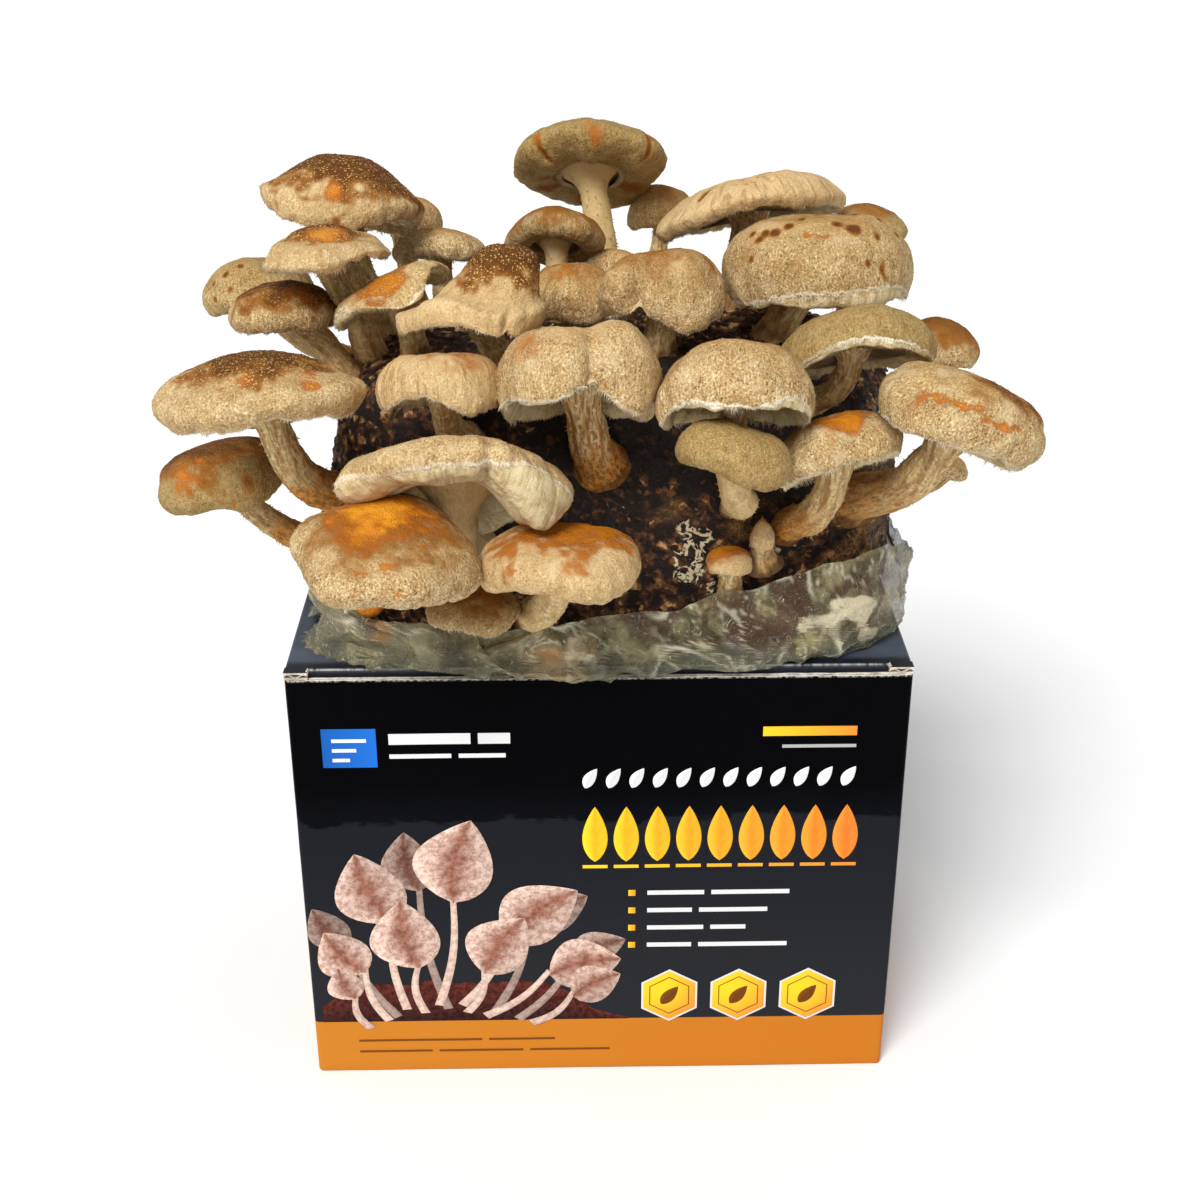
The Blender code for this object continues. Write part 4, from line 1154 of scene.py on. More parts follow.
# Patches of white mycelium and of ochre wood on the block: place, radius, strength
MYCELIUM = (
    ((39, -62, 251), 12, 1.0),
    ((36, -62, 240), 9, 1.0),
    ((44, -62, 230), 7, 0.9),
    ((74, -60, 247), 13, 0.8),
    ((112, -45, 246), 16, 0.5),
    ((103, -50, 215), 22, 0.6),
    ((-60, -60, 262), 8, 0.5),
    ((-96, -45, 262), 7, 0.4),
)
OCHRE = (
    ((104, -50, 262), 20, 0.9),
    ((112, -45, 238), 22, 0.7),
    ((-98, -40, 250), 16, 0.9),
    ((66, -60, 250), 14, 0.6),
    ((30, -62, 262), 9, 0.3),
)

# Painted shade on the block under the caps, nearly black: place, radius, strength
PAINTED_SHADE_PLACES = (
    ((20, -62, 292), 48, 1.0),
    ((-45, -58, 300), 46, 0.3),
    ((78, -58, 290), 30, 0.9),
    ((0, -62, 262), 22, 0.7),
    ((-70, -56, 268), 26, 0.3),
)


def patches(points, wanted, seed):
    total = np.zeros(len(points))
    ragged = layered_noise(points, 9.0, seed)
    for place, radius, strength in wanted:
        away = np.linalg.norm(points - np.array(place), axis=1) / radius
        total = np.maximum(total, strength * smoothstep(1.3, 0.35, away + 0.5 * ragged))
    return total


def block_look():
    """Wet sawdust: near-black to red-brown grains, webs of white mycelium, ochre wood, and painted shade
    under the caps.
    """
    graph = Graph("sawdust")
    place = graph.place()
    fine = graph.noise(place, 1.1, 3.0, 0.7)
    clumps = graph.noise(place, 8.0, 3.0, 0.65)
    chip = graph.parts(graph.cells(place, 2.4, "Color"))[0]
    value = graph.sum((graph.value("grain"), 0.3), (chip, 0.35), (clumps, 0.6), (fine, 0.25))
    # Painted shade under the caps darkens the sawdust there
    value = graph.sum(value, (graph.value("wet"), -0.22))
    colour = graph.mix(graph.ramp(value, 0.66, 0.84), paint(26, 15, 8), paint(84, 50, 24))
    colour = graph.coats(
        colour,
        (graph.ramp(value, 0.80, 0.96), paint(126, 84, 46)),
        (graph.ramp(value, 0.92, 1.02), paint(196, 152, 98)))
    ochre = graph.times(graph.value("ochre"), graph.ramp(clumps, 0.38, 0.62))
    wood = graph.mix(graph.ramp(fine, 0.4, 0.6), paint(120, 78, 40), paint(196, 146, 84))
    colour = graph.mix(ochre, colour, wood)
    web = graph.noise(place, 6.5, 3.0, 0.6, 0.6)
    strand = graph.ramp(graph.math("ABSOLUTE", graph.math("SUBTRACT", web, 0.5)), 0.0, 0.09, 1.0, 0.0)
    lace = graph.sum((graph.value("white"), 1.2), (strand, 0.25), (graph.noise(place, 5.0, 2.0), 0.6))
    white = graph.ramp(lace, 0.94, 1.02)
    colour = graph.mix(graph.times(white, 0.92), colour, paint(226, 206, 168))
    height = graph.sum(fine, (chip, 0.8), (white, 0.8))
    rough = graph.ramp(fine, 0.3, 0.7, 0.35, 0.8)
    return graph.set(
        base_color=colour, roughness=rough, normal=graph.bump(height, 1.0, 1.0), specular_ior_level=0.3)


def block_grid():
    """The block's surface from the middle of its top, over the edge and down to its foot."""
    top, rings, _ = read_fan(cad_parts["substrate_block"], 16)
    rings = upsample(level_rings(rings), BLOCK_COLUMNS)
    rows = np.concatenate((np.tile(top, (1, BLOCK_COLUMNS, 1)), rings))
    knots = knots_of(rows)
    at = np.linspace(0, knots[-1], int(knots[-1] / BLOCK_SPACING))
    return smooth_through(rows, knots, at)


def chips_on(points, normals, count, random):
    """Splinters and crumbs that lie on the block: small wedges of five corners."""
    pick = random.integers(0, len(points), count)
    roots = points[pick]
    out = normals[pick]
    way = unit(np.cross(out, random.normal(0, 1, (count, 3))))
    side = np.cross(out, way)
    long = (1.0 + 2.2 * random.random(count))[:, None]
    wide = (0.5 + 0.9 * random.random(count))[:, None]
    high = (0.4 + 0.9 * random.random(count))[:, None]
    base = roots - out * 0.3
    corners = np.stack((
        base - way * long, base + side * wide, base + way * long, base - side * wide,
        base + out * high + way * long * 0.3 * random.normal(0, 1, (count, 1)),
    ), axis=1)
    sides = ((0, 3, 4), (3, 2, 4), (2, 1, 4), (1, 0, 4))
    return corners.reshape(-1, 3), alike_faces(count, CHIP_CORNERS, sides)


def block_patches(points, each):
    """Painted shade, ochre and white places of the block, at each point and for so many corners there."""
    wanted = {"wet": (PAINTED_SHADE_PLACES, 9), "ochre": (OCHRE, 6), "white": (MYCELIUM, 5)}
    return {name: np.repeat(patches(points, *places), each) for name, places in wanted.items()}


def build_block():
    random = np.random.default_rng(7)
    grid = block_grid()
    normals = grid_normals(grid)
    normals[0] = (0, 0, 1)
    points = grid.reshape(-1, 3)
    flat_normals = normals.reshape(-1, 3)
    near, edge, value = cell_noise(points, 4.6, 1)
    _, _, value_small = cell_noise(points, 2.6, 2)
    white = patches(points, MYCELIUM, 5)
    ochre = patches(points, OCHRE, 6)
    broad = 1.5 * noise(points, 17, 3) + 0.8 * noise(points, 8, 4)
    grains = 1.5 * (value - 0.5) * smoothstep(0.0, 0.25, edge) + 0.9 * (value_small - 0.5) - 0.8 * near
    shift = broad + grains + 0.5 * white
    points = points + flat_normals * np.clip(shift, -3.2, 2.4)[:, None]
    piece = Piece()
    scattered = 0.16 * smoothstep(0.35, 0.7, layered_noise(points, 12, 8))
    piece.add(points, grid_faces(*grid.shape[:2]), grain=value_small, ochre=ochre,
              white=np.maximum(white * 0.5, scattered), wet=patches(points, PAINTED_SHADE_PLACES, 9))
    chips, chip_faces = chips_on(points, flat_normals, CHIPS, random)
    shade = np.repeat(random.random(CHIPS), CHIP_CORNERS)
    seen = block_patches(chips.reshape(-1, CHIP_CORNERS, 3)[:, 0], CHIP_CORNERS)
    seen["white"] *= 0.5
    piece.add(chips, chip_faces, grain=shade, **seen)
    made = piece.build("sawdust_block", (block_look(),))
    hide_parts("substrate_block")
    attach(made, "root")


# Bag

# Where what lies behind the film shows through: place, radius, strength
SEEN_BROWN = (
    ((60, -82, 214), 22, 0.9),
    ((100, -72, 208), 20, 0.4),
    ((74, -80, 231), 14, 0.9),
    ((98, -76, 231), 11, 1.4),
    ((108, -70, 232), 11, 1.4),
    ((117, -62, 233), 11, 1.4),
    ((22, -82, 222), 16, 0.6),
    ((-95, -70, 214), 20, 0.7),
    ((-50, -84, 218), 16, 0.5),
)
SEEN_CREAM = (
    ((72, -80, 216), 14, 0.5),
    ((86, -80, 220), 10, 1.1),
    ((98, -77, 220), 13, 1.2),
    ((109, -70, 220), 13, 1.2),
    ((118, -40, 226), 18, 0.5),
    ((-20, -84, 206), 20, 0.7),
    ((40, -82, 232), 10, 0.7),
    ((-108, -60, 226), 12, 0.5),
)
# Where the film is lighter, at its front left
LIGHTER_FILM_PLACES = (
    ((-112, -66, 210), 26, 1.0),
    ((-78, -82, 208), 24, 0.9),
    ((-40, -86, 212), 22, 0.6),
)
SEEN_AMBER = (
    ((-16, -88, 205), 11, 1.0),
    ((-88, -80, 214), 9, 0.9),
    ((101, -77, 225), 5, 0.6),
    ((84, -80, 226), 5, 0.5),
)


# Where the film's rim stands up in front of a small mushroom: x, how much, how broad
RIM_RAISED = (-8.0, 6.5, 24.0)

BAG_OUTSIDE_RINGS = 4
BAG_COLUMNS = 650
BAG_ROWS = 56
BAG_RADIUS = 110.0
HEM_HIGH = 9.0

# The crimped seam that sticks out at the bag's front left: from and to which direction in
# degrees, how far it sticks out, how thick its crimps are, and how many there are
SEAM_FROM = -158
SEAM_TO = -112
SEAM_WIDE = 7.5
SEAM_CRIMP = 0.3
SEAM_CRIMPS = 19


def crease_lines(graph, place, size, width, warp):
    """Thin bright lines where the film is creased."""
    wave = graph.noise(place, size, 3.0, 0.55, warp)
    away = graph.math("ABSOLUTE", graph.math("SUBTRACT", wave, 0.5))
    return graph.ramp(away, 0.0, width, 1.0, 0.0)


def film_look():
    """Cloudy film, olive over the block, with what is behind it showing through in patches, lighter at its
    front left, and painted highlights along its fold crests.
    """
    graph = Graph("film")
    place = graph.place()
    cloud = graph.noise(place, 17.0, 3.0, 0.6)
    marble = graph.noise(place, 6.5, 3.0, 0.6, 0.5)
    hem = graph.value("hem")
    crest = graph.value("crest")
    lines = graph.most(crease_lines(graph, place, 9.0, 0.012, 1.0),
                       crease_lines(graph, place, 3.6, 0.014, 1.6))
    lines = graph.times(lines, graph.ramp(marble, 0.40, 0.58, 0.15, 1.0))
    lines = graph.most(lines, crest)
    colour = graph.mix(graph.ramp(cloud, 0.38, 0.62), paint(98, 90, 58), paint(160, 148, 104))
    colour = graph.mix(graph.ramp(marble, 0.36, 0.54, 0.7, 0.0), colour, paint(62, 52, 32))
    brown = graph.ramp(graph.sum(graph.value("brown"), (marble, 0.9)), 0.75, 1.15)
    colour = graph.mix(graph.times(brown, 0.85), colour, paint(84, 52, 30))
    cream = graph.ramp(graph.sum(graph.value("cream"), (marble, -0.9)), 0.05, 0.40)
    colour = graph.coats(
        colour,
        (graph.times(cream, 0.85), paint(220, 206, 172)),
        (graph.times(graph.value("amber"), 0.85), paint(206, 138, 52)),
        (graph.times(hem, 0.6), paint(136, 140, 116)),
        # Lighter film at the front left
        (graph.times(graph.value("light"), 0.6), paint(170, 164, 126)),
        (graph.times(lines, 0.75), paint(226, 222, 194)))
    alpha = graph.sum(graph.ramp(cloud, 0.35, 0.7, 0.66, 0.86), (lines, 0.4), (cream, 0.2), (hem, -0.32))
    alpha = graph.math("ADD", alpha, 0.0, clamp=True)
    small = graph.noise(place, 2.2, 3.0, 0.6)
    height = graph.sum((lines, 0.6), small, (marble, 0.6))
    return graph.set(
        base_color=colour, roughness=0.2, alpha=alpha, normal=graph.bump(height, 0.8, 0.9),
        specular_ior_level=0.4)


def bag_rings():
    """The outside rings of the modelled bag, from its floor up to its rim."""
    _, rings, _ = read_fan(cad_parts["bag"], 16, lowest=True)
    return level_rings(rings[:BAG_OUTSIDE_RINGS])


def bag_surface():
    """The film's outside as a grid of points with its normals, from its floor up to its rim."""
    rings = upsample(bag_rings(), BAG_COLUMNS)
    middle = rings[0].mean(axis=0)
    inward = middle + (rings[0] - middle) * 0.86
    rows = np.concatenate((inward[None], rings))
    knots = knots_of(rows)
    at = np.linspace(0, knots[-1], BAG_ROWS)
    grid = smooth_through(rows, knots, at)
    grid[:, :, 2] = np.maximum(grid[:, :, 2], rings[0][:, 2].min() + 0.05)
    return grid, -grid_normals(grid), at / knots[-1]


def build_bag():
    grid, normals, way = bag_surface()
    points = grid.reshape(-1, 3)
    high = np.repeat(way, BAG_COLUMNS)
    free = smoothstep(0.05, 0.3, high)
    slanted = points @ np.array([[1.0, 0.0, 0.5], [0.0, 1.0, 0.0], [-0.4, 0.0, 1.0]])
    broad = ridges(slanted * np.array([0.6, 0.6, 1.0]), 24, 3)
    middling = ridges(slanted * np.array([0.7, 0.7, 1.3]), 11, 5)
    fine = ridges(points, 5.5, 7)
    folds = 1.8 * broad + 1.4 * middling
    crinkle = 0.7 * fine ** 3 + 0.35 * ridges(points, 2.9, 9) ** 3
    shift = (folds + crinkle - 1.6) * free
    # Painted highlight along the crests of the folds
    crest = np.maximum(smoothstep(0.90, 0.99, broad), 0.8 * smoothstep(0.88, 0.99, middling))
    crest = np.maximum(crest, 0.6 * smoothstep(0.86, 0.98, fine))
    crest = crest * smoothstep(-0.35, 0.35, noise(points, 21, 8))
    points = points + normals.reshape(-1, 3) * shift[:, None]
    around = on_tube(angles(BAG_ROWS, BAG_COLUMNS), BAG_RADIUS, 0 * high)
    points[:, 2] += 2.4 * layered_noise(around, 11, 2) * smoothstep(0.8, 1.0, high)
    raised_x, raised_by, raised_wide = RIM_RAISED
    raised = raised_by * bell(points[:, 0] - raised_x, raised_wide) * (points[:, 1] < -50)
    points[:, 2] += raised * smoothstep(0.6, 1.0, high)
    low = points[:, 2] - points[:, 2].min()
    hem = smoothstep(HEM_HIGH + 4, HEM_HIGH - 3, low + 3 * noise(points, 14, 4))
    piece = Piece()
    faces = grid_faces(*grid.shape[:2])[..., ::-1]
    seen = {"brown": (SEEN_BROWN, 12), "cream": (SEEN_CREAM, 13), "amber": (SEEN_AMBER, 14),
            "light": (LIGHTER_FILM_PLACES, 15)}
    seen = {name: patches(points, *places) for name, places in seen.items()}
    piece.add(points, faces, hem=hem, crest=crest, **seen)
    seam, seam_hem, seam_crest = bag_seam(grid, way)
    piece.add_grid(seam, closed=False, hem=seam_hem, crest=seam_crest)
    made = piece.build("film_bag", (film_look(),))
    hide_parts("bag")
    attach(made, "root")


def bag_seam(grid, way):
    """A crimped flange of film that lies out over the lid from the bag's foot."""
    row = int(np.argmin(np.abs(way - 0.34)))
    first, last = (int((turn % 360) / 360 * BAG_COLUMNS) for turn in (SEAM_FROM, SEAM_TO))
    foot = grid[row, first:last]
    along = np.linspace(0, 1, len(foot))
    out = np.gradient(foot, axis=0)
    out = unit(np.stack([out[:, 1], -out[:, 0], 0 * along], axis=1))
    ends = smoothstep(0, 0.12, along) * smoothstep(1, 0.8, along)
    steps = np.linspace(0, 1, 12)[:, None]
    wide = SEAM_WIDE * ends * (0.8 + 0.25 * noise(foot, 16, 6))
    crimp = SEAM_CRIMP * np.cos(2 * pi * SEAM_CRIMPS * along + 3 * noise(foot, 12, 7)) * steps
    floor = grid[:, :, 2].min() + SEAM_CRIMP + 0.3
    height = foot[:, 2] * (1 - steps) ** 2 + floor * (1 - (1 - steps) ** 2) + crimp
    points = foot[None] + out[None] * (wide * steps)[..., None]
    points[:, :, 2] = height
    # Painted highlight along the seam's outer edge
    crest = smoothstep(0.88, 1.0, steps) + 0 * crimp
    return points, 0.5 + 0 * height.ravel(), crest.ravel() * 0.7


# Carton

CORNER_RADIUS = 2.2
CORNER_STEPS = 6
WALL_STEP = 5.0
BOARD = 2.6
LINER = 0.95
FLUTE_PITCH = 6.5
FLUTE_PAPER = 0.25
EAR_WIDTH = 9.5
EAR_DEPTH = 2.9
TUCK_DEPTH = 24.0
LID_GAP = 0.3
BAND_TOP = 27.5
# Height of the wavy line where the painted reflection of the floor ends
PAINTED_REFLECTION_LINE = 131.0
WALL_EDGE = ((0.8, 0.0), (0.25, 0.25), (0.0, 0.9))


def box_of(node):
    """A modelled node's lowest and highest corners, in millimetres."""
    return tuple(np.array(corner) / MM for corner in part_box(node))


def board_wave(points):
    """How far the printed walls swell outwards, in millimetres."""
    return 0.25 * noise(points, 55, 3) + 0.06 * noise(points, 14, 5)


def carton_look():
    """Glossy black print with an orange foot. Below a wavy line the black carries a painted reflection of
    the bright floor in dark grey, with a faint painted glow just above the line.
    """
    graph = Graph("printed_board")
    place = graph.place()
    x, _, z = graph.parts(place)
    wide = graph.noise(graph.stretched(place, (1.0, 1.0, 0.4)), 34.0, 2.0)
    ripple = graph.noise(graph.stretched(place, (1.0, 1.0, 2.6)), 8.0, 3.0, 0.65)
    line = graph.sum(z, (wide, 0.016), (ripple, 0.010))
    level = (PAINTED_REFLECTION_LINE + 13.0) * MM
    fade = graph.ramp(line, level - 0.0012, level + 0.0012)
    # A faint painted glow of the reflection just above the wavy line
    soft = graph.ramp(line, level, level + 0.020, 0.35, 0.0)
    # Painted reflection of the floor below the wavy line: dark grey, a little lighter towards the orange
    # foot
    low = graph.mix(graph.ramp(z, BAND_TOP * MM, PAINTED_REFLECTION_LINE * MM), paint(40, 41, 45), paint(30, 31, 36))
    colour = graph.mix(fade, low, graph.mix(soft, paint(2, 2, 5), paint(20, 22, 28)))
    band = graph.ramp(z, (BAND_TOP - 0.2) * MM, (BAND_TOP + 0.2) * MM, 1.0, 0.0)
    orange = graph.mix(graph.ramp(x, -0.125, 0.125), paint(198, 124, 42), paint(194, 116, 36))
    colour = graph.mix(band, colour, orange)
    worn = graph.noise(place, 1.3, 3.0, 0.7)
    fleck = graph.ramp(worn, 0.80, 0.84)
    colour = graph.mix(graph.times(fleck, 0.5), colour, paint(170, 170, 172))
    rubbed = graph.times(graph.value("worn"), graph.ramp(worn, 0.40, 0.58))
    colour = graph.mix(rubbed, colour, paint(206, 200, 188))
    # The real reflection is kept very low, as the reflection is painted
    return graph.set(
        base_color=colour, roughness=graph.ramp(worn, 0.4, 0.7, 0.14, 0.22),
        normal=graph.bump(graph.noise(place, 16.0, 2.0), 0.10, 0.5), specular_ior_level=0.02)


def lid_look():
    graph = Graph("lid_board")
    place = graph.place()
    y = graph.parts(place)[1]
    soft = graph.noise(place, 24.0, 3.0)
    dust = graph.noise(place, 0.8, 3.0, 0.7)
    # The slate colour is a painted reflection of the bright studio on the dark board; along the front edge
    # the board is darker
    colour = graph.mix(graph.ramp(soft, 0.3, 0.7), paint(60, 67, 80), paint(78, 86, 98))
    colour = graph.mix(graph.ramp(y, -0.0712, -0.0660), paint(22, 27, 36), colour)
    colour = graph.mix(graph.ramp(dust, 0.62, 0.74, 0.0, 0.10), colour, paint(150, 155, 162))
    broken = graph.ramp(graph.noise(graph.stretched(place, (1.0, 0.2, 0.2)), 5.0, 3.0, 0.7), 0.36, 0.56)
    worn = graph.times(graph.value("worn"), broken)
    colour = graph.mix(worn, colour, paint(188, 190, 192))
    return graph.set(
        base_color=colour, roughness=0.3, normal=graph.bump(soft, 0.15, 0.5), specular_ior_level=0.2)


def paper_look(name, light, dark):
    graph = Graph(name)
    place = graph.place()
    fibre = graph.noise(place, 0.7, 3.0, 0.7)
    stain = graph.noise(place, 4.0, 2.0)
    colour = graph.mix(graph.ramp(graph.sum((fibre, 0.5), (stain, 0.5)), 0.38, 0.58), dark, light)
    return graph.set(base_color=colour, roughness=0.9, normal=graph.bump(fibre, 0.2, 0.8))


def wall_ring(inset, height):
    """One level round the walls: a rectangle with round corners, its sides in short steps."""
    _, high = box_of("carton_body")
    radius = max(CORNER_RADIUS - inset, 0.4)
    centre = high[:2] - inset - radius
    corners = []
    for quarter, side in enumerate(((1, 1), (-1, 1), (-1, -1), (1, -1))):
        turn = (quarter + np.linspace(0, 1, CORNER_STEPS)) * pi / 2
        corners.append(np.array(side) * centre + radius * np.stack([np.cos(turn), np.sin(turn)], axis=1))
    ring = []
    for quarter, (corner, after) in enumerate(zip(corners, corners[1:] + corners[:1])):
        count = int(2 * high[quarter % 2] / WALL_STEP)
        way = np.linspace(0, 1, count)[1:-1, None]
        ring += [corner, corner[-1] * (1 - way) + after[0] * way]
    ring = np.concatenate(ring)
    return np.column_stack((ring, np.full(len(ring), height)))


def add_walls(piece, levels, look, ragged=0.0, waved=0.0):
    """A band of the walls between some (inset, height) levels."""
    grid = np.array([wall_ring(*level) for level in levels])
    points = grid.reshape(-1, 3)
    _, high = box_of("carton_body")
    far = np.abs(points[:, :2]) > high[:2] - CORNER_RADIUS
    out = np.sign(points[:, :2]) * far
    points[:, :2] += out * (waved * board_wave(points))[:, None]
    points[:, 2] += ragged * layered_noise(points, 3.5, 9)
    worn = smoothstep(0.7, 0.1, high[2] - points[:, 2])
    piece.add(points, grid_faces(*grid.shape[:2])[..., ::-1], look, worn=worn)


def build_carton_body(print_look, paper, kraft):
    low, high = box_of("carton_body")
    top = high[2]
    piece = Piece()
    middle = -low[1] - 0.5
    heights = np.arange(WALL_EDGE[-1][1], top - 1.0, WALL_STEP)[1:]
    rise = [(0.0, height) for height in heights] + [(0.0, top - 1.0), (0.0, top - 0.2)]
    foot = [(middle, 0.0), (40.0, 0.0), (8.0, 0.0)]
    add_walls(piece, foot + list(WALL_EDGE) + rise, COATED, waved=1.0)
    outer = [(0.0, top - 0.2), (0.15, top), (LINER, top), (LINER + 0.05, top - 2.5)]
    add_walls(piece, outer, CUT_PAPER, ragged=0.18, waved=1.0)
    add_walls(piece, [(LINER + 0.05, top - 2.5), (BOARD - LINER, top - 2.5)], KRAFT)
    inner = [(BOARD - LINER, top - 2.5), (BOARD - LINER, top), (BOARD, top), (BOARD, top - 3.0)]
    add_walls(piece, inner, CUT_PAPER, ragged=0.14)
    add_walls(piece, [(BOARD, top - 3.0), (BOARD, BOARD), (40.0, BOARD), (middle, BOARD)], KRAFT)
    reach = high[0] - 2 * CORNER_RADIUS
    swing = (BOARD - 2 * LINER) / 2
    flute = flute_strip(-reach, reach, low[1] + BOARD / 2, swing, top - 2.4, top - 0.35)
    piece.add_grid(flute, KRAFT, closed=False)
    made = piece.build("carton_shell", (print_look, paper, kraft))
    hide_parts("carton_body")
    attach(made, "root")


def flute_strip(start, end, middle, swing, low, high):
    """The wavy paper between two liners: it waves back and forth and stands upright."""
    x = np.arange(start, end, FLUTE_PITCH / 8)
    y = middle + swing * np.cos(2 * pi * x / FLUTE_PITCH)
    half = FLUTE_PAPER / 2
    rows = ((-half, low), (-half, high), (half, high), (half, low))
    return np.array([np.stack([x, y + aside, np.full_like(x, level)], axis=1)
                     for aside, level in rows])


def add_box(piece, low, high, look, **values):
    around = ((low[0], low[1]), (high[0], low[1]), (high[0], high[1]), (low[0], high[1]))
    corners = np.array([[(x, y, z) for x, y in around] for z in (low[2], high[2])], float)
    sides = [(0, 1, 5, 4), (1, 2, 6, 5), (2, 3, 7, 6), (3, 0, 4, 7), (4, 5, 6, 7), (3, 2, 1, 0)]
    values = {name: np.full(8, value) for name, value in values.items()}
    piece.add(corners, np.array(sides), look, **values)


def across_lid(start, inside, end, first, last, way):
    """Places across the lid and how far it drops there, with its own (inset, drop) at each end."""
    places = [start + way * inset for inset, _ in first] + list(inside)
    places += [end - way * inset for inset, _ in last]
    drops = [drop for _, drop in first] + [0.0] * len(inside) + [drop for _, drop in last]
    return np.array(places), np.array(drops)


def lid_panel(piece, low, high, fold):
    """The lid's top, rounded at its sides and back, folded down behind the front wall."""
    edge = ((0.0, 2.9), (0.0, 1.1), (0.3, 0.35), (1.1, 0.0))
    crease = ((1.3, 0.0), (0.5, 0.2), (0.1, 0.7), (0.0, 1.6), (0.0, 6.0), (0.0, TUCK_DEPTH))
    inside = np.arange(low[0] + 4, high[0] - 3, WALL_STEP)
    x, x_drop = across_lid(low[0], inside, high[0], edge, edge[::-1], 1)
    deep = np.arange(high[1] - 4, fold + 3, -WALL_STEP)
    y, y_drop = across_lid(high[1], deep, fold, edge, crease, -1)
    worn = [0.0] * (len(edge) + len(deep)) + [0.0, 0.8, 0.1, 0.0, 0.0, 0.0]
    drop = np.maximum(x_drop[None], y_drop[:, None])
    folded = y[:, None] < fold + 0.1
    narrow = np.clip(x, low[0] + EAR_WIDTH + 0.4, high[0] - EAR_WIDTH - 0.4)
    x = np.where(folded, narrow[None], x[None])
    drop = np.where(folded, y_drop[:, None], drop)
    points = np.stack([x, np.broadcast_to(y[:, None], x.shape), high[2] - drop], axis=-1)
    flat = points.reshape(-1, 3)
    flat[:, 2] += 0.12 * noise(flat, 40, 6)
    piece.add_grid(points, COATED, closed=False, worn=np.repeat(worn, x.shape[1]))
    under = (high[0] - 0.3, high[1] - 0.3, low[2] + 0.4)
    add_box(piece, (low[0] + 0.3, fold + 0.5, low[2]), under, KRAFT, worn=0.0)


def add_ear(piece, side, low, high, fold):
    """A square ear at a front corner of the lid: two liners with the flutes between them."""
    outer = high[0] if side > 0 else low[0]
    start, end = sorted((outer, outer - side * EAR_WIDTH))
    top = high[2] + 0.08
    front = low[1] + 0.1
    under = low[2] + 0.05
    add_box(piece, (start, front + 0.15, top - 0.12), (end, fold + 2.0, top + 0.02), COATED, worn=0.0)
    add_box(piece, (start, front, top - 0.75), (end, fold + 1.0, top - 0.1), CUT_PAPER)
    add_box(piece, (start, front + 0.1, under), (end, fold + 1.0, under + 0.5), CUT_PAPER)
    add_box(piece, (start + 0.3, front + 1.1, under), (end - 0.3, fold + 0.8, top - 0.7), KRAFT)
    swing = (top - 0.8 - under - 0.5) / 2
    x = np.arange(start, end + 0.1, FLUTE_PITCH / 12)
    z = (top - 0.8 + under + 0.5) / 2 + swing * np.cos(2 * pi * x / FLUTE_PITCH)
    half = FLUTE_PAPER
    rows = ((half, front + 1.2), (half, front + 0.1), (-half, front + 0.1), (-half, front + 1.2))
    strip = np.array([np.stack([x, np.full_like(x, depth), z + aside], axis=1)
                      for aside, depth in rows])
    piece.add_grid(strip, CUT_PAPER, closed=False)
    inner = outer - side * EAR_WIDTH
    tear = np.array([(inner, front + 0.3, top - 1.6), (inner + side * 0.9, front + 0.5, top - 0.2),
                     (inner - side * 0.1, front + 1.6, top + 1.5),
                     (inner - side * 0.5, fold + 0.6, top - 0.4)])
    piece.add(tear, np.array([[0, 1, 2], [0, 2, 3], [1, 3, 2], [0, 3, 1]]), CUT_PAPER)


def build_carton_lid(paper, kraft):
    low, high = box_of("carton_lid")
    body_low, body_high = box_of("carton_body")
    low[2] = body_high[2] + LID_GAP
    fold = body_low[1] + EAR_DEPTH
    piece = Piece()
    lid_panel(piece, low, high, fold)
    for side in (-1, 1):
        add_ear(piece, side, low, high, fold)
    made = piece.build("carton_top", (lid_look(), paper, kraft), smooth=False)
    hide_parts("carton_lid")
    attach(made, "root")


# Print on the carton's front: leaves, bars and rosettes of flat ink

PRINT_LIFT = 0.10
PRINT_LAYER = 0.05
WHITE = np.array(paint(238, 238, 238))
GOLD = np.array(paint(250, 206, 40))
AMBER = np.array(paint(238, 140, 52))
BLUSH = np.array(paint(236, 206, 190))
CLAY = np.array(paint(170, 112, 92))
EARTH = np.array(paint(104, 46, 36))
UMBER = np.array(paint(52, 24, 24))
SEPIA = np.array(paint(118, 66, 16))
BLUE = np.array(paint(24, 92, 176))


def ink_look():
    """Printed colours; the picture's are broken up by a fine dark grain."""
    graph = Graph("print_ink")
    place = graph.place()
    ink = graph.vector("ink")
    speckle = graph.noise(place, 2.2, 4.0, 0.75)
    shadow = graph.stretched(ink, (0.42, 0.30, 0.26))
    grain = graph.times(graph.value("grainy"), graph.ramp(speckle, 0.60, 0.38))
    colour = graph.mix(grain, ink, shadow)
    return graph.set(base_color=colour, roughness=0.2, specular_ior_level=0.1)


